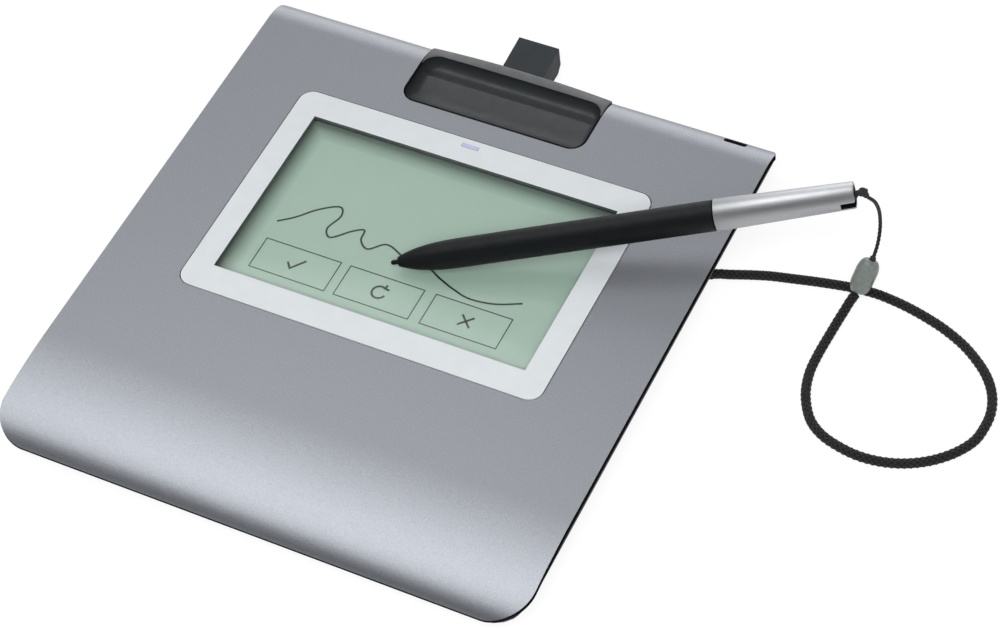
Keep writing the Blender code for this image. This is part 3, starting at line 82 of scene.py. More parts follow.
# Heights and places that the pieces share, in metres.
GAP = 0.0003
OVERRUN = 0.004
DECK_HEIGHT = 0.011
FLOOR_HEIGHT = CAD_BOX[0][2]
PAD_WIDTH = 0.161
PAD_FRONT = -0.085
PAD_REAR = 0.085
FRONT_CORNER = 0.011
REAR_CORNER = 0.0025
FRONT_ROLL = 0.034
FRONT_DROP = 0.0068
REAR_ROLL = 0.009
REAR_DROP = 0.0042
COVER_WALL = 0.0015
COVER_RIM = 0.0022
FRONT_RIM = 0.0006
COVER_FILLET = 0.0003
EDGE_UPRIGHT = 0.3
ROLL_STEPS = 48
CORNER_STEPS = 16

# The window, its frame and the layers under it.
WINDOW_WIDTH = 0.0968
WINDOW_DEPTH = 0.0597
WINDOW_Y = 0.0164
BEZEL_BORDER_X = 0.0076
BEZEL_BORDER_Y = 0.0086
BEZEL_CORNER = 0.0041
BEZEL_LIP = 0.0014
BEZEL_FILLET = 0.0003
FLANGE_REACH = 0.0020
FLANGE_HEIGHT = 0.0010
GLASS_POCKET = 0.0038
BEZEL_BOTTOM = 0.0082
BEZEL_TOP = 0.0112
PANEL_TOP = 0.0073
LIGHT_X = -0.0008
LIGHT_Y = 0.05235
LIGHT_WIDTH = 0.0050
LIGHT_DEPTH = 0.0011
# How dark the painted shade is along the panel's left and rear edges, where the frame's walls shade it, and
# how far it reaches, and the same of its pale front.
PANEL_PAINTED_SHADE = 0.44
PANEL_PAINTED_SHADE_REACH = 0.0050
PANEL_PALE = 1.22
PANEL_PALE_START = 0.0004
PANEL_PALE_REACH = 0.0026

# The pen rest.
TRAY_HALF_WIDTH = 0.029
TRAY_FRONT = 0.0624
TRAY_CORNER = 0.0045
TRAY_BACK_CORNER = 0.0008
TRAY_BOTTOM = 0.0052
TRAY_STEP = 0.0022
TRAY_FILLET = 0.0002
TRAY_REAR_SHARE = 0.75
RIM_ROLL = 0.0080
RIM_DROP = 0.0030
RIM_CROWN = 0.0019
RIM_COLUMN_SHARE = 0.35
HOLLOW_HALF_WIDTH = 0.0288
HOLLOW_FRONT = 0.0627
HOLLOW_FRONT_LOW = 0.0696
HOLLOW_RIDGE = 0.0755
HOLLOW_REAR_LOW = 0.0784
HOLLOW_REAR = 0.0813
HOLLOW_DEPTH = 0.0038
RIDGE_HEIGHT = 0.0005
HOLLOW_FRONT_POWER = 0.75
HOLLOW_FRONT_CORNER = 0.0040
HOLLOW_REAR_CORNER = 0.0052
HOLLOW_END_RUN = 0.0028
HOLLOW_END_STEPS = 14
HOLLOW_STEPS = 8

# The connector housing behind the pen rest.
HOUSING_WIDTH = 0.013
HOUSING_BOTTOM = 0.0022
HOUSING_FRONT = 0.0853
HOUSING_REAR = 0.0964
HOUSING_WALL = 0.0011
HOUSING_CHAMFER = 0.0022
HOUSING_FILLET = 0.0004
HOUSING_DIP = 0.0010
NECK_FRONT = 0.0830
NECK_TOP = 0.0086
MOUTH_DEPTH = 0.0060
MOUTH_HEIGHT = 0.0058

# The lock slot in the rear edge.
LOCK_SLOT_X = 0.0682
LOCK_SLOT_WIDTH = 0.0070
LOCK_SLOT_BOTTOM = 0.0089
LOCK_SLOT_HEIGHT = 0.0011
LOCK_SLOT_FRONT = 0.0803

# The pen, from its tip to its rear end.
PEN_TIP = (-0.00225, 0.00575, 0.01145)
PEN_AZIMUTH = radians(23.8)
PEN_ELEVATION = radians(10.6)
PEN_LENGTH = 0.1298
PEN_SIDES = 96
GRIP_END = 0.0915
GRIP_FILLET = 0.00025
NOSE_START = 0.0022
NOSE_LENGTH = 0.0240
NOSE_MOUTH_RADIUS = 0.00135
NOSE_POWER = 3.6
NOSE_STEPS = 48
NOSE_STEP_POWER = 1.5
GRIP_RADIUS = 0.00415
GRIP_END_RADIUS = 0.0043
GRIP_WALL = 0.0011
SPIGOT_LENGTH = 0.0060
SPIGOT_RADIUS = 0.0031
TAIL_RADIUS = 0.00445
TAIL_END_RADIUS = 0.0037
TAIL_WALL = 0.0009
TAIL_CHAMFER = 0.0004
TAIL_SLOT_WIDTH = 0.0020
TAIL_SLOT_LENGTH = 0.0040
NIB_RADIUS = 0.0007
NIB_LENGTH = 0.0232
PIN_SETBACK = 0.0018

# The feet, as shares of their radius.
FOOT_DISH_SHARE = 0.7
FOOT_RING_SHARE = 0.78

# The tether: a braided cord from the pad to a bead, and a thin string from the bead to the pen.
CORD_DIAMETER = 0.0029
CORD_STEP = 0.00023
CORD_SIDES = 48
CORD_END_SHARE = 0.75
BRAID_STRANDS = 6
BRAID_LAY = 0.0098
BRAID_DEPTH = 0.00034
WEAVE_SHARE = 0.35
STRING_DIAMETER = 0.0011
STRING_STEP = 0.00012
STRING_SIDES = 18
STRING_STRANDS = 3
STRING_LAY = 0.0036
STRING_DEPTH = 0.00016
LOOP_RADIUS = 0.00055
LOOP_HALF_WIDTH = 0.00135
LOOP_STRAIGHT = 0.00075
LOOP_STEPS = 96
BEAD_FRONT = (0.1185, 0.0493, 0.0047)
BEAD_AIM = (0.1203, 0.0555, 0.0124)
BEAD_LENGTH = 0.0100
BEAD_RADIUS = 0.0031
BEAD_END_RADIUS = 0.0014
BEAD_TAPER = 0.0036
BEAD_BORE = 0.0007
# The knots at the pen and in the bead, with shares of a knot's own size and of the way to the string.
KNOT_RADIUS = 0.0014
KNOT_HEIGHT = 0.13205
KNOT_DROP = 0.0005
BEAD_KNOT_RADIUS = 0.00095
KNOT_VOXEL = 0.00007
KNOT_STEPS = 120
KNOT_WIRE_SHARE = 0.44
KNOT_WAIST_SHARE = 0.38
KNOT_RISE_SHARE = 0.9
KNOT_CORE_SHARE = 0.66
KNOT_NECK_SHARE = 0.6
KNOT_END_SHARE = 0.62
KNOT_END_PLACE_SHARE = 0.55
# Where the cord's centre line lies, from the grommet along the table and up to the bead.
CORD_ROUTE = [
    (0.0779, 0.0407, 0.0030), (0.0795, 0.0420, 0.0027), (0.0812, 0.0432, 0.0021),
    (0.0829, 0.0443, 0.0014), (0.0878, 0.0468, 0.0006), (0.0928, 0.0487, 0.0003),
    (0.0981, 0.0500, 0.00025), (0.1061, 0.0518, 0.00025), (0.1142, 0.0533, 0.00025),
    (0.1209, 0.0539, 0.00025), (0.1257, 0.0537, 0.00025), (0.1318, 0.0528, 0.00025),
    (0.1380, 0.0513, 0.00025), (0.1443, 0.0492, 0.00025), (0.1512, 0.0458, 0.00025),
    (0.1573, 0.0412, 0.00025), (0.1611, 0.0370, 0.00025), (0.1636, 0.0325, 0.00025),
    (0.1649, 0.0277, 0.00025), (0.1650, 0.0230, 0.00025), (0.1641, 0.0178, 0.00025),
    (0.1612, 0.0128, 0.00025), (0.1572, 0.0086, 0.00025), (0.1528, 0.0055, 0.00025),
    (0.1480, 0.0033, 0.00025), (0.1428, 0.0020, 0.00025), (0.1374, 0.0017, 0.00025),
    (0.1320, 0.0025, 0.00025), (0.1267, 0.0042, 0.00025), (0.1223, 0.0072, 0.00025),
    (0.1191, 0.0116, 0.00025), (0.1169, 0.0166, 0.0003), (0.1157, 0.0224, 0.0004),
    (0.1156, 0.0283, 0.0006), (0.1160, 0.0345, 0.0010), (0.1165, 0.0400, 0.0015),
    (0.1170, 0.0442, 0.0021), (0.1174, 0.0467, 0.0028), (0.1179, 0.0482, 0.0036),
    (0.1184, 0.0490, 0.0043),
]
# Where the string's centre line lies, from the bead up to the knot at the pen's end.
STRING_ROUTE = [
    (0.1204, 0.0557, 0.0126), (0.1203, 0.0575, 0.0128), (0.1200, 0.0602, 0.0133),
    (0.1196, 0.0624, 0.0143), (0.1192, 0.0641, 0.0163), (0.1190, 0.0644, 0.0193),
    (0.1191, 0.0634, 0.0234), (0.1192, 0.0616, 0.0278), (0.1191, 0.0594, 0.0322),
    (0.1180, 0.0578, 0.0351),
]
# The part of the cord's length where it begins and ends to follow the pen, as shares.
FOLLOW_START_SHARE = 0.55
FOLLOW_END_SHARE = 0.985


def add_object(name, data):
    obj = bpy.data.objects.new(name, data)
    bpy.context.scene.collection.objects.link(obj)
    return obj


def from_bmesh(name, bm):
    """A mesh object from a closed bmesh, with its faces pointing out."""
    bmesh.ops.recalc_face_normals(bm, faces=bm.faces)
    mesh = bpy.data.meshes.new(name)
    bm.to_mesh(mesh)
    bm.free()
    return add_object(name, mesh)


def whole_turn(steps):
    """The angles of a whole turn in even steps."""
    return [2 * pi * step / steps for step in range(steps)]


def quarter(steps, first=0):
    """The sine, and what the cosine lacks of one, at even steps of a quarter turn."""
    angles = [0.5 * pi * step / steps for step in range(first, steps + 1)]
    return [(sin(angle), 1 - cos(angle)) for angle in angles]


def arc(x, y, radius, start, sweep, steps=CORNER_STEPS):
    """Points of an arc about (x, y), counterclockwise from the angle start."""
    angles = [start + sweep * step / steps for step in range(steps + 1)]
    return [(x + radius * cos(angle), y + radius * sin(angle)) for angle in angles]


def loft(name, rings, cyclic=False):
    """A closed body through rings of as many points each, which end in caps or meet again."""
    bm = bmesh.new()
    rows = [[bm.verts.new(point) for point in ring] for ring in rings]
    if cyclic:
        rows.append(rows[0])
    for lower, upper in zip(rows, rows[1:]):
        for index in range(len(lower)):
            after = (index + 1) % len(lower)
            bm.faces.new((lower[index], lower[after], upper[after], upper[index]))
    if not cyclic:
        bm.faces.new(list(reversed(rows[0])))
        bm.faces.new(rows[-1])
    return from_bmesh(name, bm)


def prism(name, outline, bottom, top):
    """An outline in plan made solid from bottom to top."""
    return loft(name, [[(x, y, height) for x, y in outline] for height in (bottom, top)])


def side_prism(name, outline, left, right):
    """An outline of points (y, z) made solid from left to right."""
    return loft(name, [[(x, y, z) for y, z in outline] for x in (left, right)])


def box_outline(low, high):
    return [(low[0], low[1]), (high[0], low[1]), (high[0], high[1]), (low[0], high[1])]


def block(name, low, high):
    return prism(name, box_outline(low, high), low[2], high[2])


def through_hole(name, x, y, width, depth):
    """A block about (x, y) that reaches through the pad."""
    low = (x - width / 2, y - depth / 2, 0)
    return block(name, low, (x + width / 2, y + depth / 2, 2 * DECK_HEIGHT))


def rounded_outline(low, high, front_radius, rear_radius):
    """A rectangle in plan with rounded corners, counterclockwise from its front left."""
    front, rear = low[1] + front_radius, high[1] - rear_radius
    return [
        *arc(low[0] + front_radius, front, front_radius, pi, 0.5 * pi),
        *arc(high[0] - front_radius, front, front_radius, 1.5 * pi, 0.5 * pi),
        *arc(high[0] - rear_radius, rear, rear_radius, 0, 0.5 * pi),
        *arc(low[0] + rear_radius, rear, rear_radius, 0.5 * pi, 0.5 * pi),
    ]


def around_window(border_x, border_y, radius):
    """The outline of the window with a border round it."""
    half_x, half_y = WINDOW_WIDTH / 2 + border_x, WINDOW_DEPTH / 2 + border_y
    return rounded_outline((-half_x, WINDOW_Y - half_y), (half_x, WINDOW_Y + half_y), radius, radius)


def bake_modifiers(obj):
    graph = bpy.context.evaluated_depsgraph_get()
    mesh = bpy.data.meshes.new_from_object(obj.evaluated_get(graph))
    obj.modifiers.clear()
    obj.data = mesh


def combine(obj, other, operation="DIFFERENCE"):
    """Cuts, joins or meets obj with another body, which is used up."""
    modifier = obj.modifiers.new("Combine", "BOOLEAN")
    modifier.object = other
    modifier.operation = operation
    bake_modifiers(obj)
    bpy.data.objects.remove(other)
    return obj


def shade_with_sharp_edges(obj, angle):
    obj.data.shade_smooth()
    obj.data.set_sharp_from_angle(angle=radians(angle))


def soften_edges(obj, width, segments=3, angle=30):
    """Rounds the sharp edges, and shades the flats flat and the rounds smooth."""
    bevel = obj.modifiers.new("Round", "BEVEL")
    bevel.width = width
    bevel.segments = segments
    bevel.limit_method = "ANGLE"
    bevel.angle_limit = radians(angle)
    obj.data.shade_smooth()
    bake_modifiers(obj)
    shade_with_sharp_edges(obj, 40)
    weighted = obj.modifiers.new("Shade", "WEIGHTED_NORMAL")
    weighted.keep_sharp = True
    weighted.weight = 100
    bake_modifiers(obj)


def turned(name, profile, sides=PEN_SIDES, place=Matrix.Identity(4)):
    """A closed body of revolution about +Z through points (radius, height), then put in its place."""
    bm = bmesh.new()
    rows = []
    for radius, height in profile:
        angles = whole_turn(sides) if radius else [0]
        rows.append([bm.verts.new((radius * cos(turn), radius * sin(turn), height)) for turn in angles])
    if len(rows[0]) > 1:
        rows.append(rows[0])
    for lower, upper in zip(rows, rows[1:]):
        for step in range(sides):
            after = (step + 1) % sides
            corners = [lower[step % len(lower)], lower[after % len(lower)]]
            corners += [upper[after % len(upper)], upper[step % len(upper)]]
            bm.faces.new(list(dict.fromkeys(corners)))
    bmesh.ops.transform(bm, matrix=place, verts=bm.verts)
    obj = from_bmesh(name, bm)
    shade_with_sharp_edges(obj, 40)
    return obj


def dress(obj, body, slot, *replaced, finish=None):
    """Gives a piece its body, its slot, its finish and the nodes that it stands for."""
    obj.data.materials.clear()
    obj.data.materials.append(FINISHES[finish or slot])
    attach(obj, body)
    if replaced:
        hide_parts(*replaced)
    return obj


def second_finish(obj, finish, chosen):
    """Gives the faces that chosen(centre, normal) picks another finish."""
    index = len(obj.data.materials)
    obj.data.materials.append(FINISHES[finish])
    for face in obj.data.polygons:
        if chosen(face.center, face.normal):
            face.material_index = index


def add_node(tree, kind, sources=(), operation=None, **values):
    """A new shader node, with links into its first sockets and values for the sockets named."""
    node = tree.nodes.new("ShaderNode" + kind)
    if operation:
        node.operation = operation
    for source, socket in zip(sources, node.inputs):
        tree.links.new(source, socket)
    set_sockets(node, values)
    return node


# The values between which nearly all noise lies.
NOISE_LIMITS = (0.3, 0.7)


def set_sockets(node, values):
    for name, value in values.items():
        node.inputs[name.replace("_", " ")].default_value = value


def spread(tree, source, low, high, start, end):
    """The source stretched from start..end to low..high."""
    limits = {"From_Min": start, "From_Max": end, "To_Min": low, "To_Max": high}
    return add_node(tree, "MapRange", [source], **limits).outputs["Result"]


def maths(tree, operation, first, second):
    return add_node(tree, "Math", [first, second], operation).outputs[0]


def ray_share(tree, rays):
    """One where a ray is of any of the named kinds, else zero."""
    path = add_node(tree, "LightPath")
    total = path.outputs[rays[0]]
    for ray in rays[1:]:
        total = maths(tree, "MAXIMUM", total, path.outputs[ray])
    return total


def mix_by_ray(tree, rays, others, seen, output):
    """Shows one shader to the named kinds of rays and the other one to all others."""
    mix = add_node(tree, "MixShader", [ray_share(tree, rays), others.outputs[0], seen.outputs[0]])
    tree.links.new(mix.outputs[0], tree.nodes[output].inputs["Surface"])


class Surface:
    """A Principled material whose nodes are added one by one, in metres of the object."""

    def __init__(self, name, colour, roughness, metallic=0.0, **sockets):
        self.material = bpy.data.materials.new("finish_" + name)
        self.material.use_nodes = True
        self.tree = self.material.node_tree
        self.shader = self.tree.nodes["Principled BSDF"]
        self.colour = colour
        plain = {"Base Color": (*colour, 1), "Roughness": roughness, "Metallic": metallic}
        set_sockets(self.shader, plain | sockets)
        self.coordinates = add_node(self.tree, "TexCoord").outputs["Object"]

    def noise(self, size, detail=3.0, stretch=(1, 1, 1), coarse=0.5):
        """Noise whose blotches are about size metres wide, longer where stretch is below 1."""
        place = add_node(self.tree, "Mapping", [self.coordinates], Scale=stretch).outputs[0]
        values = {"Scale": 1 / size, "Detail": detail, "Roughness": coarse}
        return add_node(self.tree, "TexNoise", [place], **values).outputs["Fac"]

    def shades(self, source, low, high, limits=NOISE_LIMITS):
        """The colour multiplied by low where the source is dark and by high where it is light."""
        node = add_node(self.tree, "Mix")
        node.data_type = "RGBA"
        self.tree.links.new(spread(self.tree, source, 0, 1, *limits), node.inputs["Factor"])
        sockets = [socket for socket in node.inputs if socket.type == "RGBA"]
        for socket, scale in zip(sockets, (low, high)):
            socket.default_value = (*(scale * part for part in self.colour), 1)
        colour = [socket for socket in node.outputs if socket.type == "RGBA"][0]
        self.tree.links.new(colour, self.shader.inputs["Base Color"])

    def rough(self, source, low, high):
        source = spread(self.tree, source, low, high, *NOISE_LIMITS)
        self.tree.links.new(source, self.shader.inputs["Roughness"])

    def bump(self, source, height):
        """Relief of about height metres, over any relief that is there already."""
        node = add_node(self.tree, "Bump", Distance=height)
        self.tree.links.new(source, node.inputs["Height"])
        target = self.shader.inputs["Normal"]
        if target.is_linked:
            self.tree.links.new(target.links[0].from_socket, node.inputs["Normal"])
        self.tree.links.new(node.outputs["Normal"], target)


def silver_paint():
    """Metallic paint: fine flakes that catch the light unevenly, and slightly uneven gloss."""
    paint = Surface("silver_paint", (0.221, 0.232, 0.254), 0.37, 0.70)
    flakes = paint.noise(0.00038, 3.0, coarse=0.75)
    paint.shades(flakes, 0.84, 1.16)
    paint.rough(paint.noise(0.0012, 3.0), 0.36, 0.38)
    paint.bump(flakes, 0.000012)
    paint.bump(paint.noise(0.0016, 2.0), 0.000010)
    return paint.material


def moulded(name, colour, roughness, grain=0.00035, relief=0.000018, vary=0.10, specular=0.5):
    """Moulded plastic with a fine spark-eroded grain and slightly uneven gloss."""
    plastic = Surface(name, colour, roughness, Specular_IOR_Level=specular)
    plastic.shades(plastic.noise(0.006, 5.0), 1 - vary, 1 + vary)
    plastic.rough(plastic.noise(0.0025, 4.0), roughness - 0.05, roughness + 0.05)
    plastic.bump(plastic.noise(grain, 3.0, coarse=0.6), relief)
    return plastic.material


def metal(name, colour, roughness, stretch=(1, 1, 1)):
    """Bare or satin metal with fine marks along its length."""
    surface = Surface(name, colour, roughness, 1.0)
    marks = surface.noise(0.0002, 4.0, stretch)
    surface.shades(marks, 0.94, 1.06)
    surface.rough(marks, roughness - 0.05, roughness + 0.06)
    surface.bump(marks, 0.000004)
    return surface.material


def display_green():
    """A reflective liquid crystal panel, with painted shade along its left and rear edges where the frame
    shades it, and paler at its front edge.
    """
    panel = Surface("display_panel", (0.370, 0.495, 0.422), 0.45)
    tree = panel.tree
    place = add_node(tree, "SeparateXYZ", [panel.coordinates]).outputs
    left, front, rear = -WINDOW_WIDTH / 2, WINDOW_Y - WINDOW_DEPTH / 2, WINDOW_Y + WINDOW_DEPTH / 2
    plain = (1 - PANEL_PAINTED_SHADE) / (PANEL_PALE - PANEL_PAINTED_SHADE)
    from_left = spread(tree, place["X"], 0, plain, left, left + PANEL_PAINTED_SHADE_REACH)
    from_rear = spread(tree, place["Y"], plain, 0, rear - PANEL_PAINTED_SHADE_REACH, rear)
    pale_start, pale_end = front + PANEL_PALE_START, front + PANEL_PALE_REACH
    from_front = spread(tree, place["Y"], 1 - plain, 0, pale_start, pale_end)
    # Painted shade: the colour darkens towards the window's left and rear edges.
    shaded = maths(tree, "MINIMUM", from_left, from_rear)
    panel.shades(maths(tree, "ADD", shaded, from_front), PANEL_PAINTED_SHADE, PANEL_PALE, (0, 1))
    panel.rough(panel.noise(0.0012, 3.0), 0.40, 0.50)
    panel.bump(panel.noise(0.0004, 2.0), 0.000006)
    return panel.material


def clear_glass():
    """The cover glass, which lets the lamps through to the panel."""
    glass = Surface("clear_glass", (0.985, 0.995, 0.99), 0.04, IOR=1.46, Transmission_Weight=1.0)
    glass.rough(glass.noise(0.01, 3.0), 0.03, 0.07)
    clear = add_node(glass.tree, "BsdfTransparent", Color=(0.97, 0.985, 0.975, 1))
    mix_by_ray(glass.tree, ["Is Shadow Ray", "Is Diffuse Ray"], glass.shader, clear, "Material Output")
    return glass.material


def braided_cord():
    """Black polyester yarn: matt, with fine fibres that are a little lighter, and painted shade that darkens
    the grooves between strands.
    """
    sheen = {"Sheen Weight": 0.08, "Sheen Roughness": 0.5}
    yarn = Surface("braided_cord", (0.012, 0.012, 0.0125), 0.85, **sheen)
    fibres = yarn.noise(0.00012, 3.0, coarse=0.7)
    groove = add_node(yarn.tree, "Attribute")
    groove.attribute_name = "groove"
    # Painted shade: the colour darkens where the surface dips between strands.
    height = maths(yarn.tree, "SUBTRACT", fibres, groove.outputs["Fac"])
    yarn.shades(height, 0.15, 2.6, (-0.3, 0.7))
    yarn.rough(fibres, 0.75, 0.95)
    yarn.bump(fibres, 0.00004)
    return yarn.material


def bead_plastic():
    """Milky translucent plastic, pale grey-green."""
    milk = {"Subsurface Weight": 0.5, "Subsurface Radius": (0.004, 0.0045, 0.004), "Subsurface Scale": 1}
    bead = Surface("bead_plastic", (0.20, 0.225, 0.21), 0.28, **milk)
    bead.shades(bead.noise(0.004, 2.0), 0.95, 1.05)
    bead.rough(bead.noise(0.0012, 3.0), 0.22, 0.34)
    bead.bump(bead.noise(0.0006, 2.0), 0.00001)
    return bead.material


def pen_silver():
    """Satin silver paint on the pen's rear barrel."""
    paint = Surface("pen_silver", (0.42, 0.43, 0.445), 0.46, 0.90)
    flakes = paint.noise(0.00016, 2.0, coarse=0.7)
    paint.shades(flakes, 0.93, 1.07)
    paint.rough(paint.noise(0.003, 4.0), 0.44, 0.48)
    paint.bump(flakes, 0.0000015)
    return paint.material


def screen_ink():
    ink = Surface("screen_ink", (0.008, 0.014, 0.013), 0.5)
    ink.shades(ink.noise(0.0005, 3.0), 0.8, 1.25)
    ink.rough(ink.noise(0.0008, 2.0), 0.45, 0.55)
    return ink.material


# Moulded finishes: colour and roughness, then where they aren't the usual ones the size and relief
# of the grain, how much the shade varies and how strong the gloss is.
PLASTICS = {
    "dark_plastic": ((0.030, 0.031, 0.033), 0.55),
    "white_plastic": ((0.69, 0.725, 0.75), 0.34, 0.0005, 0.000006, 0.02),
    "tray_plastic": ((0.018, 0.021, 0.023), 0.54, 0.00028, 0.000010, 0.08),
    # Painted light: a lighter copy of the tray plastic for the rear rim, which catches more light.
    "rim_painted_light": ((0.052, 0.056, 0.059), 0.44, 0.00028, 0.000010, 0.08),
    "black_rubber": ((0.020, 0.020, 0.020), 0.80, 0.0004, 0.00003),
    "foam": ((0.03, 0.03, 0.03), 0.9, 0.0003, 0.00008),
    "circuit_board": ((0.02, 0.16, 0.07), 0.45),
    "chip_black": ((0.025, 0.025, 0.025), 0.50),
    "flex_film": ((0.50, 0.24, 0.04), 0.40, 0.0005, 0.000004),
    "light_blue": ((0.55, 0.58, 0.82), 0.30, 0.0005, 0.000003, 0.2),
    "ferrite": ((0.08, 0.08, 0.085), 0.60),
    # Painted shade: a dark finish for the window's inner walls, which stand in shade.
    "window_wall_shade": ((0.085, 0.09, 0.092), 0.5),
    "pen_black": ((0.0036, 0.0050, 0.0055), 0.55, 0.0003, 0.000012, 0.12, 0.22),
    "housing_plastic": ((0.029, 0.033, 0.036), 0.5, 0.00035, 0.000018, 0.10, 0.16),
    # Painted shade: a near-black finish for upright edges, gaps and the insides of recesses, which stand in
    # shade.
    "dark_edge_painted_shade": ((0.010, 0.010, 0.011), 0.6, 0.00035, 0.000018, 0.10, 0.0),
}
FINISHES = {name: moulded(name, *values) for name, values in PLASTICS.items()} | {
    "silver_paint": silver_paint(),
    "clear_glass": clear_glass(),
    "display_panel": display_green(),
    "screen_ink": screen_ink(),
    "steel": metal("steel", (0.55, 0.55, 0.56), 0.30),
    "copper": metal("copper", (0.62, 0.28, 0.12), 0.35, (1, 1, 0.1)),
    "pen_silver": pen_silver(),
    "braided_cord": braided_cord(),
    "bead_plastic": bead_plastic(),
}


def add_camera():
    """The photograph's view: its place, direction, roll and focal length."""
    data = bpy.data.cameras.new("camera")
    data.sensor_width = SENSOR_MM
    data.lens = FOCAL_PIXELS * SENSOR_MM / PICTURE_WIDTH
    camera = add_object("camera", data)
    around = Matrix.Rotation(CAMERA_AZIMUTH, 4, "Z")
    down = Matrix.Rotation(pi / 2 - CAMERA_ELEVATION, 4, "X")
    turn = around @ down @ Matrix.Rotation(CAMERA_ROLL, 4, "Z")
    camera.matrix_world = Matrix.Translation(CAMERA_PLACE) @ turn
    bpy.context.scene.camera = camera


def smooth_route(route, step):
    """Points about step apart on a smooth curve through the route's own points."""
    points = [Vector(point) for point in route]
    ends = [2 * points[0] - points[1]] + points + [2 * points[-1] - points[-2]]
    fine = [points[0]]
    for before, start, end, after in zip(ends, ends[1:], ends[2:], ends[3:]):
        square = 2 * before - 5 * start + 4 * end - after
        cube = 3 * start - before - 3 * end + after
        count = max(1, round((end - start).length / step))
        for index in range(1, count + 1):
            t = index / count
            fine.append(0.5 * (2 * start + (end - before) * t + square * t**2 + cube * t**3))
    return fine


def distances(points):
    """How far along the line each point lies."""
    run = [0.0]
    for start, end in zip(points, points[1:]):
        run.append(run[-1] + (end - start).length)
    return run


def frames_along(points):
    """A pair of directions across the line at each point, turned as little as can be."""
    side = None
    for index in range(len(points)):
        before, after = points[max(index - 1, 0)], points[min(index + 1, len(points) - 1)]
        way = (after - before).normalized()
        if side is None:
            side = way.cross(Vector((0, 0, 1))).normalized()
        side = (side - side.dot(way) * way).normalized()
        yield side, way.cross(side)


def round_end(distance, length, radius):
    """How much of its radius a tube keeps near its ends, which are slightly rounded."""
    near = min(distance, length - distance)
    edge = radius / 3
    if near >= edge:
        return 1
    return CORD_END_SHARE + (1 - CORD_END_SHARE) * sqrt(1 - (1 - near / edge) ** 2)


def tube(name, points, radius, sides, relief):
    """A closed tube along the points; relief(angle, distance) is how deep its surface dips."""
    run = distances(points)
    rings, dips = [], []
    for point, distance, (side, up) in zip(points, run, frames_along(points)):
        keep = round_end(distance, run[-1], radius)
        ring = []
        for angle in whole_turn(sides):
            dip = relief(angle, distance)
            dips.append(dip)
            ring.append(point + keep * (radius - dip) * (cos(angle) * side + sin(angle) * up))
        rings.append(ring)
    obj = loft(name, rings)
    # How deep each point dips, kept for the cord's finish, which paints shade into the grooves.
    deepest = max(dips)
    groove = obj.data.attributes.new("groove", "FLOAT", "POINT")
    groove.data.foreach_set("value", [dip / deepest for dip in dips])
    obj.data.shade_smooth()
    return obj


def braid(angle, distance):
    """The dips between strands that wind both ways and pass over and under each other."""
    turn = 2 * pi * distance / BRAID_LAY
    first, second = BRAID_STRANDS * (angle + turn), BRAID_STRANDS * (angle - turn)
    weave = WEAVE_SHARE * cos(first / 2) * cos(second / 2)
    over = 0.5 * (1 + cos(first)) * (1 - WEAVE_SHARE + weave)
    under = 0.5 * (1 + cos(second)) * (1 - WEAVE_SHARE - weave)
    return BRAID_DEPTH * (1 - max(over, under))


def twist(angle, distance):
    """The grooves of a cord of a few strands laid round each other."""
    phase = STRING_STRANDS * (angle - 2 * pi * distance / STRING_LAY) / 2
    return STRING_DEPTH * (1 - abs(cos(phase)))


def pen_place():
    """The pen's own frame: +Z runs up the pen from its tip, +X is level and +Y is up."""
    around = Matrix.Rotation(PEN_AZIMUTH - pi / 2, 4, "Z")
    return Matrix.Translation(PEN_TIP) @ around @ Matrix.Rotation(PEN_ELEVATION - pi / 2, 4, "X")


def aimed_place(start, aim):
    """A frame at start whose +Z points at aim."""
    way = (Vector(aim) - Vector(start)).normalized()
    return Matrix.Translation(start) @ way.to_track_quat("Z", "Y").to_matrix().to_4x4()


def follow_pen(cord, run, sides):
    """Lets the cord's lifted end go with the pen, more and more along its last stretch."""
    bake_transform(cord, "pad", "pen", start=CORD_ROUTE[0], end=CORD_ROUTE[-1])
    start, end = FOLLOW_START_SHARE * run[-1], FOLLOW_END_SHARE * run[-1]
    for index, value in enumerate(cord.data.attributes["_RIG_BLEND"].data):
        share = min(max((run[index // sides] - start) / (end - start), 0), 1)
        value.value = share * share * (3 - 2 * share)


def tether_cord(bead):
    points = smooth_route(CORD_ROUTE, CORD_STEP)
    cord = tube("tether_braid", points, CORD_DIAMETER / 2, CORD_SIDES, braid)
    cord.data.materials.append(FINISHES["braided_cord"])
    follow_pen(cord, distances(points), CORD_SIDES)
    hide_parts("tether_cord")


def pen_string(pieces):
    points = smooth_route(STRING_ROUTE, STRING_STEP)
    string = tube("string_strands", points, STRING_DIAMETER / 2, STRING_SIDES, twist)
    dress(string, "pen", "braided_cord", "pen_string")


def cord_bead():
    """A turned bead with tapered, rounded ends and a hole for the string and the cord."""
    profile = [(BEAD_BORE, BEAD_TAPER / 8), (BEAD_BORE + BEAD_TAPER / 10, 0)]
    bulge = BEAD_RADIUS - BEAD_END_RADIUS
    profile += [(BEAD_END_RADIUS + bulge * out, BEAD_TAPER * up) for out, up in quarter(steps=14)]
    profile += [(radius, BEAD_LENGTH - height) for radius, height in reversed(profile)]
    bead = turned("bead_body", profile, sides=64, place=aimed_place(BEAD_FRONT, BEAD_AIM))
    return dress(bead, "pen", "bead_plastic", "cord_bead")


def ball(radius, steps=14):
    """The profile of a ball about the origin."""
    angles = [pi * step / steps for step in range(1, steps)]
    sides = [(radius * sin(angle), -radius * cos(angle)) for angle in angles]
    return [(0, -radius), *sides, (0, radius)]


def ring_tube(name, points, radius, sides):
    """A tube round a closed line."""
    middle = sum(points, Vector()) / len(points)
    rings = []
    for index, point in enumerate(points):
        way = (points[(index + 1) % len(points)] - points[index - 1]).normalized()
        side = (point - middle - (point - middle).dot(way) * way).normalized()
        up = way.cross(side)
        rings.append([point + radius * (cos(turn) * side + sin(turn) * up) for turn in whole_turn(sides)])
    obj = loft(name, rings, cyclic=True)
    obj.data.shade_smooth()
    return obj


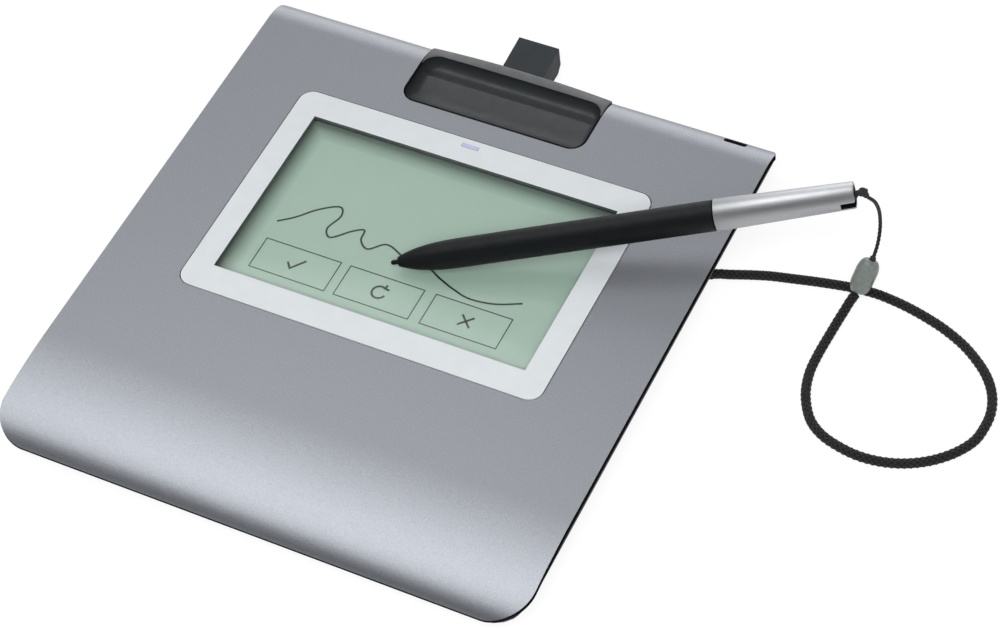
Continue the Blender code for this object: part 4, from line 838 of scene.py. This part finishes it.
def grown_together(name, pieces, voxel):
    """One closed body from pieces that pass through each other, slightly smoothed."""
    bm = bmesh.new()
    for piece in pieces:
        bm.from_mesh(piece.data)
        bpy.data.objects.remove(piece)
    whole = from_bmesh(name, bm)
    remesh = whole.modifiers.new("Remesh", "REMESH")
    remesh.mode = "VOXEL"
    remesh.voxel_size = voxel
    smooth = whole.modifiers.new("Smooth", "SMOOTH")
    smooth.iterations = 4
    bake_modifiers(whole)
    whole.data.shade_smooth()
    return whole


def knot_body(name, centre, radius, lumps):
    """A tight overhand knot: three turns drawn together round a core, with lumps (place, radius)."""
    wire = KNOT_WIRE_SHARE * radius
    reach = radius - wire
    points = []
    for angle in whole_turn(KNOT_STEPS):
        out = reach * (1 - KNOT_WAIST_SHARE + KNOT_WAIST_SHARE * cos(3 * angle))
        rise = KNOT_RISE_SHARE * reach * sin(3 * angle)
        points.append(centre + Vector((out * cos(2 * angle), out * sin(2 * angle), rise)))
    pieces = [ring_tube(name + "_wire", points, wire, sides=14)]
    for place, size in [(centre, KNOT_CORE_SHARE * radius)] + lumps:
        pieces.append(turned(name + "_lump", ball(size), sides=24, place=Matrix.Translation(place)))
    return grown_together(name, pieces, KNOT_VOXEL)


def string_knot():
    """The knot behind the pen's end, with its neck to the loop and the lump where the string leaves."""
    centre = Vector((0, -KNOT_DROP, KNOT_HEIGHT))
    string_end = PEN_PLACE.inverted() @ Vector(STRING_ROUTE[-1])
    lumps = [
        (centre.lerp(string_end, KNOT_END_PLACE_SHARE), KNOT_END_SHARE * KNOT_RADIUS),
        (centre - Vector((0, 0, KNOT_RADIUS)), KNOT_NECK_SHARE * KNOT_RADIUS),
    ]
    knot = knot_body("knot_turns", centre, KNOT_RADIUS, lumps)
    knot.data.transform(PEN_PLACE)
    return dress(knot, "pen", "braided_cord", "string_knot")


def bead_knot():
    """The small knot that keeps the string in the bead."""
    knot = knot_body("bead_knot", Vector(STRING_ROUTE[0]), BEAD_KNOT_RADIUS, [])
    return dress(knot, "pen", "braided_cord")


def string_loop():
    """The string's loop round the pin in the pen's end."""
    points = []
    for angle in whole_turn(LOOP_STEPS):
        shift = LOOP_STRAIGHT if sin(angle) >= 0 else 0
        height = PEN_LENGTH - PIN_SETBACK + shift + LOOP_HALF_WIDTH * sin(angle)
        points.append(Vector((LOOP_HALF_WIDTH * cos(angle), 0, height)))
    loop = ring_tube("loop_strands", points, LOOP_RADIUS, sides=16)
    loop.data.transform(PEN_PLACE)
    return dress(loop, "pen", "braided_cord", "string_loop")


def deck_line(lowered, front_lowered):
    """Points (y, z) along the cover's top, lower by an amount that fades to another at the front."""
    top = DECK_HEIGHT - lowered
    drop = FRONT_DROP - lowered + front_lowered
    line = []
    for out, down in reversed(quarter(ROLL_STEPS)):
        line.append((PAD_FRONT + FRONT_ROLL - (FRONT_ROLL + GAP) * out, top - drop * down))
    for out, down in quarter(ROLL_STEPS):
        line.append((PAD_REAR - REAR_ROLL + (REAR_ROLL + GAP) * out, top - REAR_DROP * down))
    return [(PAD_FRONT - OVERRUN, line[0][1]), *line, (PAD_REAR + OVERRUN, line[-1][1])]


def deck_height(y):
    """The cover's height at y."""
    front = max(PAD_FRONT + FRONT_ROLL - y, 0) / (FRONT_ROLL + GAP)
    rear = max(y - PAD_REAR + REAR_ROLL, 0) / (REAR_ROLL + GAP)
    fall = FRONT_DROP * (1 - sqrt(1 - min(front, 1) ** 2))
    return DECK_HEIGHT - fall - REAR_DROP * (1 - sqrt(1 - min(rear, 1) ** 2))


def deck_body(name, inset, bottom_line):
    """The pad's outline drawn in by inset, between a bottom line and the deck, lower by as much."""
    outline = bottom_line + list(reversed(deck_line(inset, inset)))
    half = PAD_WIDTH / 2 + OVERRUN
    body = side_prism(name, outline, -half, half)
    low, high = (inset - PAD_WIDTH / 2, PAD_FRONT + inset), (PAD_WIDTH / 2 - inset, PAD_REAR - inset)
    plan = rounded_outline(low, high, FRONT_CORNER - inset, REAR_CORNER - inset / 2)
    hull = prism(name + "_outline", plan, -OVERRUN, DECK_HEIGHT + OVERRUN)
    return combine(body, hull, "INTERSECT")


def lock_slot_outline():
    """Points (x, z) of the lock slot, whose ends are round."""
    radius = LOCK_SLOT_HEIGHT / 2
    middle = LOCK_SLOT_BOTTOM + radius
    reach = LOCK_SLOT_WIDTH / 2 - radius
    right = arc(LOCK_SLOT_X + reach, middle, radius, -0.5 * pi, pi)
    return right + arc(LOCK_SLOT_X - reach, middle, radius, 0.5 * pi, pi)


def top_cover():
    cover = deck_body("cover_shell", 0, deck_line(COVER_RIM, FRONT_RIM))
    above, behind = DECK_HEIGHT + OVERRUN, PAD_REAR + OVERRUN
    below = -OVERRUN / 2
    floor_line = [(PAD_FRONT - OVERRUN, below), (behind, below)]
    combine(cover, deck_body("cover_hollow", COVER_WALL, floor_line))
    opening = around_window(BEZEL_BORDER_X + GAP, BEZEL_BORDER_Y + GAP, BEZEL_CORNER + GAP)
    combine(cover, prism("frame_opening", opening, 0, above))
    half = TRAY_HALF_WIDTH + GAP
    low, high = (-half, TRAY_FRONT - GAP), (half, behind)
    rest = rounded_outline(low, high, TRAY_CORNER + GAP, TRAY_BACK_CORNER)
    combine(cover, prism("rest_opening", rest, 0, above))
    ends = [[(x, y, z) for x, z in lock_slot_outline()] for y in (LOCK_SLOT_FRONT, behind)]
    combine(cover, loft("lock_slot_cut", ends))
    soften_edges(cover, COVER_FILLET)
    dress(cover, "pad", "silver_paint", "top_cover")

    # The skirt and the openings' upright walls get a near-black finish, painted shade; the faces inside the
    # cover get it as bare plastic.
    def painted_shade_faces(place, normal):
        return abs(normal.z) < EDGE_UPRIGHT or place.z < deck_height(place.y) - COVER_FILLET

    second_finish(cover, "dark_edge_painted_shade", painted_shade_faces)


def display_frame():
    outline = around_window(BEZEL_BORDER_X, BEZEL_BORDER_Y, BEZEL_CORNER)
    body = prism("frame_moulding", outline, BEZEL_BOTTOM, BEZEL_TOP)
    flange = around_window(BEZEL_BORDER_X + FLANGE_REACH, BEZEL_BORDER_Y + FLANGE_REACH, BEZEL_CORNER)
    low, high = BEZEL_BOTTOM - FLANGE_HEIGHT / 2, BEZEL_BOTTOM + FLANGE_HEIGHT / 2
    combine(body, prism("flange", flange, low, high), "UNION")
    combine(body, through_hole("window", 0, WINDOW_Y, WINDOW_WIDTH, WINDOW_DEPTH))
    pocket = around_window(GLASS_POCKET, GLASS_POCKET, GAP)
    combine(body, prism("glass_pocket", pocket, 0, BEZEL_TOP - BEZEL_LIP))
    combine(body, through_hole("light_hole", LIGHT_X, LIGHT_Y, LIGHT_WIDTH + GAP, LIGHT_DEPTH + GAP))
    soften_edges(body, BEZEL_FILLET)
    dress(body, "pad", "white_plastic", "display_frame")

    def in_window(place, normal):
        near_x, near_y = abs(place.x) - WINDOW_WIDTH / 2, abs(place.y - WINDOW_Y) - WINDOW_DEPTH / 2
        return near_x < GAP and near_y < GAP and abs(normal.z) < EDGE_UPRIGHT

    # The window's inner walls get a dark finish: painted shade.
    second_finish(body, "window_wall_shade", in_window)


def share_of_way(y, start, end):
    return (y - start) / (end - start)


def hollow_depth(y):
    """How deep the pen rest's two troughs are at y, before their ends rise."""
    if y <= HOLLOW_FRONT or y >= HOLLOW_REAR:
        return 0
    if y < HOLLOW_FRONT_LOW:
        share = share_of_way(y, HOLLOW_FRONT_LOW, HOLLOW_FRONT)
        return HOLLOW_DEPTH * (1 - share**2) ** HOLLOW_FRONT_POWER
    if y < HOLLOW_RIDGE:
        return HOLLOW_DEPTH - RIDGE_HEIGHT * share_of_way(y, HOLLOW_FRONT_LOW, HOLLOW_RIDGE) ** 2
    if y < HOLLOW_REAR_LOW:
        return HOLLOW_DEPTH - RIDGE_HEIGHT * share_of_way(y, HOLLOW_REAR_LOW, HOLLOW_RIDGE) ** 2
    return HOLLOW_DEPTH * sqrt(1 - share_of_way(y, HOLLOW_REAR_LOW, HOLLOW_REAR) ** 2)


def corner_half(y, half, front, rear, front_radius, rear_radius):
    """Half the width at y of an outline whose front and rear corners are round."""
    for near, radius in ((y - front, front_radius), (rear - y, rear_radius)):
        if near < radius:
            return half - radius + sqrt(max(radius**2 - (radius - near) ** 2, 0))
    return half


def tray_top(x, y):
    """The height of the pen rest's rim, which rolls down at the rear, less so in the middle."""
    start = PAD_REAR - RIM_ROLL
    if y <= start:
        return DECK_HEIGHT
    share = (y - start) / (RIM_ROLL + GAP)
    drop = RIM_DROP - RIM_CROWN * (1 - (x / TRAY_HALF_WIDTH) ** 2)
    return DECK_HEIGHT - drop * (1 - sqrt(1 - share**2))


def tray_rows():
    """Places in y for the pen rest's grid, closer together where it curves."""
    marks = [
        (TRAY_FRONT, HOLLOW_FRONT, 5, "close at start"),
        (HOLLOW_FRONT, HOLLOW_FRONT_LOW, 26, "close at start"),
        (HOLLOW_FRONT_LOW, HOLLOW_RIDGE, 16, "even"),
        (HOLLOW_RIDGE, HOLLOW_REAR_LOW, 14, "even"),
        (HOLLOW_REAR_LOW, HOLLOW_REAR, 22, "close at end"),
        (HOLLOW_REAR, PAD_REAR, 16, "even"),
    ]
    rows = [TRAY_FRONT]
    for start, end, count, spacing in marks:
        for step, (out, back) in enumerate(quarter(count, 1), 1):
            share = {"close at start": back, "close at end": out, "even": step / count}[spacing]
            rows.append(start + share * (end - start))
    return rows


def tray_columns(outer, inner):
    """Places in x across the pen rest: its rim, the rising end of the hollow and the hollow."""
    half = [outer, outer - (outer - inner) * RIM_COLUMN_SHARE, inner]
    half += [inner - HOLLOW_END_RUN * back for _, back in quarter(HOLLOW_END_STEPS, 1)]
    middle = half[-1]
    half += [middle * (1 - step / HOLLOW_STEPS) for step in range(1, HOLLOW_STEPS + 1)]
    return [-x for x in half] + half[-2::-1]


def tray_height(x, y, inner):
    """The pen rest's surface: its rim, less the hollow, whose ends rise in a quarter round."""
    near = inner - abs(x)
    top, depth = tray_top(x, y), hollow_depth(y)
    if near <= 0 or depth == 0:
        return top
    end = 1 if near >= HOLLOW_END_RUN else sqrt(1 - (1 - near / HOLLOW_END_RUN) ** 2)
    return top - (depth - DECK_HEIGHT + top) * end


def pen_tray():
    """The pen rest as rows of heights above a flat underside, which steps up at the rear."""
    rings = []
    rear_bottom = DECK_HEIGHT - COVER_RIM - REAR_DROP * TRAY_REAR_SHARE
    for y in tray_rows():
        outer = corner_half(y, TRAY_HALF_WIDTH, TRAY_FRONT, PAD_REAR, TRAY_CORNER, TRAY_BACK_CORNER)
        corners = (HOLLOW_FRONT_CORNER, HOLLOW_REAR_CORNER)
        inner = corner_half(y, HOLLOW_HALF_WIDTH, HOLLOW_FRONT, HOLLOW_REAR, *corners)
        inner = min(inner, outer - GAP)
        columns = tray_columns(outer, inner)
        bottom = TRAY_BOTTOM if y < PAD_REAR - TRAY_STEP else rear_bottom
        surface = [(x, y, tray_height(x, y, inner)) for x in columns]
        rings.append(surface + [(x, y, bottom) for x in reversed(columns)])
    tray = loft("tray_moulding", rings)
    soften_edges(tray, TRAY_FILLET, segments=2, angle=60)
    dress(tray, "pad", "tray_plastic", "pen_tray")

    # The rim's strip along the cover's opening is near-black: painted shade in the gap between tray and
    # cover.
    def at_cover(place, normal):
        return place.z > DECK_HEIGHT - GAP and place.y < PAD_REAR - RIM_ROLL

    # The rear rim's upper faces get the lighter copy of the tray plastic: painted light.
    def on_rim(place, normal):
        rim = tray_top(place.x, min(place.y, PAD_REAR))
        return place.y > PAD_REAR - RIM_ROLL and place.z > rim - GAP / 2

    second_finish(tray, "dark_edge_painted_shade", at_cover)
    second_finish(tray, "rim_painted_light", on_rim)


def connector_housing():
    half = HOUSING_WIDTH / 2
    profile = [
        (HOUSING_FRONT, HOUSING_BOTTOM),
        (HOUSING_REAR - HOUSING_CHAMFER, HOUSING_BOTTOM),
        (HOUSING_REAR, HOUSING_BOTTOM + HOUSING_CHAMFER),
        (HOUSING_REAR, DECK_HEIGHT),
        (HOUSING_FRONT, DECK_HEIGHT - HOUSING_DIP),
    ]
    body = side_prism("housing_shell", profile, -half, half)
    neck = half - GAP / 2
    low, high = (-neck, NECK_FRONT, HOUSING_BOTTOM + GAP / 2), (neck, HOUSING_FRONT + HOUSING_WALL, NECK_TOP)
    combine(body, block("neck", low, high), "UNION")
    inner = half - HOUSING_WALL
    mouth_bottom = HOUSING_BOTTOM + HOUSING_WALL
    mouth_front = HOUSING_REAR - MOUTH_DEPTH
    low = (-inner, NECK_FRONT - OVERRUN, mouth_bottom)
    high = (inner, mouth_front + OVERRUN / 2, NECK_TOP - HOUSING_WALL)
    combine(body, block("passage", low, high))
    high = (inner, HOUSING_REAR + OVERRUN, mouth_bottom + MOUTH_HEIGHT)
    combine(body, block("mouth", (-inner, mouth_front, mouth_bottom), high))
    soften_edges(body, HOUSING_FILLET)
    dress(body, "pad", "tray_plastic", "connector_housing", finish="housing_plastic")


def nose_radius(height):
    share = min((height - NOSE_START) / NOSE_LENGTH, 1)
    return NOSE_MOUTH_RADIUS + (GRIP_RADIUS - NOSE_MOUTH_RADIUS) * (1 - (1 - share) ** NOSE_POWER)


def pen_grip():
    """The black front barrel: a tapered nose, a nearly straight grip and a spigot into the tail."""
    profile = [(NOSE_MOUTH_RADIUS - GAP / 2, NOSE_START)]
    edge = GAP / 3
    for step in range(NOSE_STEPS + 1):
        share = (step / NOSE_STEPS) ** NOSE_STEP_POWER
        height = NOSE_START + edge + (NOSE_LENGTH - edge) * share
        profile.append((nose_radius(height), height))
    profile.append((GRIP_END_RADIUS, GRIP_END - GRIP_FILLET))
    for rise, back in quarter(steps=4, first=1):
        profile.append((GRIP_END_RADIUS - GRIP_FILLET * back, GRIP_END - GRIP_FILLET * (1 - rise)))
    spigot_end = GRIP_END + SPIGOT_LENGTH
    profile += [(SPIGOT_RADIUS, GRIP_END), (SPIGOT_RADIUS, spigot_end)]
    neck_bore = SPIGOT_RADIUS - GRIP_WALL / 2
    profile += [(neck_bore, spigot_end), (neck_bore, GRIP_END - SPIGOT_LENGTH)]
    bore = GRIP_RADIUS - GRIP_WALL
    profile += [(bore, GRIP_END - 2 * SPIGOT_LENGTH), (bore, NOSE_START + NOSE_LENGTH)]
    nib_hole = NIB_RADIUS + GAP
    nib_hole_end = NOSE_START + NOSE_LENGTH / 3
    profile += [(2 * nib_hole, nib_hole_end), (nib_hole, nib_hole_end), (nib_hole, NOSE_START)]
    dress(turned("grip_barrel", profile, place=PEN_PLACE), "pen", "pen_black", "pen_grip")


def pen_tail():
    """The silver rear barrel, with a slot in its end for the string."""
    start = GRIP_END + GAP
    bore = TAIL_END_RADIUS - TAIL_WALL
    edge = TAIL_CHAMFER / 2
    profile = [
        (TAIL_RADIUS - TAIL_WALL, start),
        (TAIL_RADIUS - edge, start),
        (TAIL_RADIUS - edge / 4, start + edge / 4),
        (TAIL_RADIUS, start + edge),
        (TAIL_END_RADIUS, PEN_LENGTH - TAIL_CHAMFER),
        (TAIL_END_RADIUS - TAIL_CHAMFER / 4, PEN_LENGTH - TAIL_CHAMFER / 4),
        (TAIL_END_RADIUS - TAIL_CHAMFER, PEN_LENGTH),
        (bore + edge / 2, PEN_LENGTH),
        (bore, PEN_LENGTH - edge / 2),
    ]
    tail = turned("tail_barrel", profile)
    half = TAIL_SLOT_WIDTH / 2
    low = (bore / 2, -half, PEN_LENGTH - TAIL_SLOT_LENGTH)
    combine(tail, block("tail_slot", low, (TAIL_RADIUS + OVERRUN, half, PEN_LENGTH + OVERRUN)))
    tail.data.transform(PEN_PLACE)
    shade_with_sharp_edges(tail, 50)
    dress(tail, "pen", "pen_silver", "pen_tail")
    back = PEN_PLACE.inverted()
    wall_middle = TAIL_END_RADIUS - TAIL_WALL / 3

    # The bore and the slot's walls get a near-black finish: painted shade inside the barrel's end.
    def painted_shade_faces(place, normal):
        spot, way = back @ Vector(place), back.to_3x3() @ Vector(normal)
        return hypot(spot.x, spot.y) < wall_middle and abs(way.z) < EDGE_UPRIGHT

    second_finish(tail, "dark_edge_painted_shade", painted_shade_faces)


def pen_nib():
    profile = [(0, 0)] + [(NIB_RADIUS * out, NIB_RADIUS * up) for out, up in quarter(steps=12, first=1)]
    profile += [(NIB_RADIUS, NIB_LENGTH), (0, NIB_LENGTH)]
    dress(turned("nib_point", profile, sides=32, place=PEN_PLACE), "nib", "pen_black", "nib")


def rubber_feet():
    """Four round feet with a rounded rim and a shallow dish underneath."""
    for name in ("foot_front_left", "foot_front_right", "foot_rear_left", "foot_rear_right"):
        low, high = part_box(name)
        radius = (high[0] - low[0]) / 2
        fillet = radius / 8
        height = high[2] - low[2]
        profile = [(0, fillet / 2), (FOOT_DISH_SHARE * radius, fillet / 2), (FOOT_RING_SHARE * radius, 0)]
        profile += [(radius - fillet * (1 - out), fillet * up) for out, up in quarter(steps=6)]
        profile += [(radius, height), (0, height)]
        place = Matrix.Translation(((low[0] + high[0]) / 2, (low[1] + high[1]) / 2, low[2]))
        dress(turned(name + "_pad", profile, sides=48, place=place), "pad", "black_rubber", name)


# Marks on the panel: a free stroke of the pen, and three outlined fields with plain signs in them.
MARK_BOTTOM = PANEL_TOP + 0.00002
MARK_TOP = PANEL_TOP + 0.00006
MARK_SHIFT = Vector((-0.00047, 0.00073))
MITER_LIMIT = 0.3
STROKE_WIDTH = 0.00058
STROKE_STEP = 0.0004
LINE_WIDTH = 0.00032
SIGN_SIZE = 0.0023
FIELD_FRONT = -0.0085
FIELD_REAR = 0.0023
FIELD_SPANS = [(-0.0405, -0.0165), (-0.0135, 0.0098), (0.0134, 0.0369)]
STROKE_ROUTE = [
    (-0.0409, 0.0088), (-0.0366, 0.0121), (-0.0318, 0.0170), (-0.0265, 0.0201),
    (-0.0246, 0.0172), (-0.0262, 0.0118), (-0.0238, 0.0092), (-0.0192, 0.0134),
    (-0.0160, 0.0151), (-0.0152, 0.0115), (-0.0120, 0.0094), (-0.0078, 0.0128),
    (-0.0027, 0.0112), (0.0018, 0.0082), (0.0066, 0.0098), (0.0118, 0.0076),
    (0.0170, 0.0056), (0.0227, 0.0043), (0.0300, 0.0053), (0.0370, 0.0083),
]


def ribbon(name, points, width, cyclic=False):
    """A flat stroke of the given width through points in plan, as a thin closed solid on the panel."""
    flat = [Vector(point) + MARK_SHIFT for point in points]
    rings = []
    for index, point in enumerate(flat):
        first = point - flat[index - 1]
        second = flat[(index + 1) % len(flat)] - point
        if index == 0 and not cyclic:
            first = second
        if index == len(flat) - 1 and not cyclic:
            second = first
        way = (first.normalized() + second.normalized()).normalized()
        across = Vector((-way.y, way.x))
        miter = 1 / max(across.dot(Vector((-first.y, first.x)).normalized()), MITER_LIMIT)
        left, right = point + across * width / 2 * miter, point - across * width / 2 * miter
        lower = [(*left, MARK_BOTTOM), (*right, MARK_BOTTOM)]
        rings.append(lower + [(*right, MARK_TOP), (*left, MARK_TOP)])
    dress(loft(name, rings, cyclic), "pad", "display_panel", finish="screen_ink")


def field_sign(index):
    """A tick, a round arrow or a cross, about the middle of its field, in sign sizes."""
    if index == 0:
        return [[(-1, 0), (-1 / 3, -0.8), (1.1, 0.9)]]
    if index == 1:
        turn = arc(0, 0, 0.9, radians(60), radians(285), 28)
        x, y = turn[0]
        return [turn, [(x + 0.1, y + 0.55), (x, y), (x + 0.62, y - 0.1)]]
    return [[(-0.8, -0.8), (0.8, 0.8)], [(-0.8, 0.8), (0.8, -0.8)]]


def screen_marks():
    stroke = smooth_route([(x, y, 0) for x, y in STROKE_ROUTE], STROKE_STEP)
    ribbon("screen_stroke", [(x, y) for x, y, _ in stroke], STROKE_WIDTH)
    middle_y = (FIELD_FRONT + FIELD_REAR) / 2
    for index, (left, right) in enumerate(FIELD_SPANS):
        outline = box_outline((left, FIELD_FRONT), (right, FIELD_REAR))
        ribbon(f"screen_field_{index}", outline, LINE_WIDTH, cyclic=True)
        middle_x = (left + right) / 2
        for number, points in enumerate(field_sign(index)):
            placed = [(middle_x + SIGN_SIZE * x, middle_y + SIGN_SIZE * y) for x, y in points]
            ribbon(f"screen_sign_{index}_{number}", placed, 2 * LINE_WIDTH)


def dress_nodes():
    """Gives every carried node the finish of its own slot."""
    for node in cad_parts.values():
        for slot in node.material_slots:
            if slot.material and slot.material.name in FINISHES:
                slot.material = FINISHES[slot.material.name]


# How bright the floor looks by itself, and the colours of its surface for the eye and for light.
FLOOR_GLOW = 0.86
FLOOR_SHADE = 0.18
FLOOR_BOUNCE = 0.55
FLOOR_SIZE = 6.0
# The kinds of rays that see the floor and the room as a background.
SEEING_RAYS = ["Is Camera Ray", "Is Glossy Ray", "Is Transmission Ray"]


def studio_floor():
    """A plain white floor, which keeps the object's shadow."""
    bm = bmesh.new()
    bmesh.ops.create_grid(bm, x_segments=1, y_segments=1, size=FLOOR_SIZE / 2)
    mesh = bpy.data.meshes.new("studio_floor")
    bm.to_mesh(mesh)
    bm.free()
    floor = add_object("studio_floor", mesh)
    floor.location.z = FLOOR_HEIGHT
    surface = bpy.data.materials.new("finish_floor")
    surface.use_nodes = True
    tree = surface.node_tree
    tree.nodes.remove(tree.nodes["Principled BSDF"])
    shadow = add_node(tree, "BsdfDiffuse", Color=(FLOOR_SHADE, FLOOR_SHADE, FLOOR_SHADE, 1))
    bounce = add_node(tree, "BsdfDiffuse", Color=(FLOOR_BOUNCE, FLOOR_BOUNCE, FLOOR_BOUNCE, 1))
    glow = add_node(tree, "Emission", Strength=FLOOR_GLOW)
    seen = add_node(tree, "AddShader", [shadow.outputs[0], glow.outputs[0]])
    mix_by_ray(tree, SEEING_RAYS, bounce, seen, "Material Output")
    mesh.materials.append(surface)


# The room's light: how strong it is on surfaces, and what gloss sees at the horizon and overhead,
# between these heights of its direction.
ROOM_LIGHT = 0.30
GLOSS_HORIZON = 0.72
GLOSS_OVERHEAD = 0.35
HORIZON_HEIGHT = 0.05
OVERHEAD_HEIGHT = 0.55
# Soft patches that only gloss sees: their direction, the cosines at their edge and heart, their strength.
GLOWS = [
    ((-0.31, 0.88, 0.36), 0.90, 0.98, 3.4),
    ((-0.33, 0.08, 0.94), 0.93, 0.985, 5.4),
    ((0.10, -0.72, 0.69), 0.90, 0.98, -0.33),
]


def studio_world():
    """Even light on surfaces, a shaded room with soft patches for gloss, and a pale one for the eye."""
    world = bpy.data.worlds.new("studio_world")
    bpy.context.scene.world = world
    world.use_nodes = True
    tree = world.node_tree
    room = tree.nodes["Background"]
    set_sockets(room, {"Color": (1, 1, 1, 1), "Strength": ROOM_LIGHT})
    direction = add_node(tree, "TexCoord").outputs["Generated"]
    height = add_node(tree, "SeparateXYZ", [direction]).outputs["Z"]
    total = spread(tree, height, GLOSS_HORIZON, GLOSS_OVERHEAD, HORIZON_HEIGHT, OVERHEAD_HEIGHT)
    for way, edge, heart, power in GLOWS:
        near = add_node(tree, "VectorMath", [direction], "DOT_PRODUCT")
        near.inputs[1].default_value = way
        total = maths(tree, "ADD", total, spread(tree, near.outputs["Value"], 0, power, edge, heart))
    strength = maths(tree, "MAXIMUM", total, ray_share(tree, ["Is Camera Ray"]))
    seen = add_node(tree, "Background")
    tree.links.new(strength, seen.inputs["Strength"])
    mix_by_ray(tree, SEEING_RAYS, room, seen, "World Output")


# The lamps: their direction from the pad, how far they are, how wide, and their power in watts.
OVERHEAD_LAMP = ((-0.33, 0.14, 0.93), 1.3, 1.1, 2.8)
KEY_LAMP = ((0.27, -0.50, 0.82), 1.4, 0.8, 14.0)


def lamp(name, way, distance, size, power):
    """A soft round lamp in the direction way from the pad, facing it."""
    data = bpy.data.lights.new(name, "AREA")
    data.shape = "DISK"
    data.size = size
    data.energy = power
    obj = add_object(name, data)
    place = Vector(way).normalized() * distance
    obj.matrix_world = aimed_place(place, 2 * place)
    return obj


def studio_lamps():
    lamp("overhead", *OVERHEAD_LAMP)
    lamp("key", *KEY_LAMP).visible_glossy = False


PEN_PLACE = pen_place()
add_camera()
tether_cord(cord_bead())
pen_string([string_knot(), string_loop(), bead_knot()])
dress_nodes()
top_cover()
display_frame()
pen_tray()
connector_housing()
pen_grip()
pen_tail()
pen_nib()
rubber_feet()
screen_marks()
studio_floor()
studio_world()
studio_lamps()
bpy.context.scene.view_settings.view_transform = "Standard"
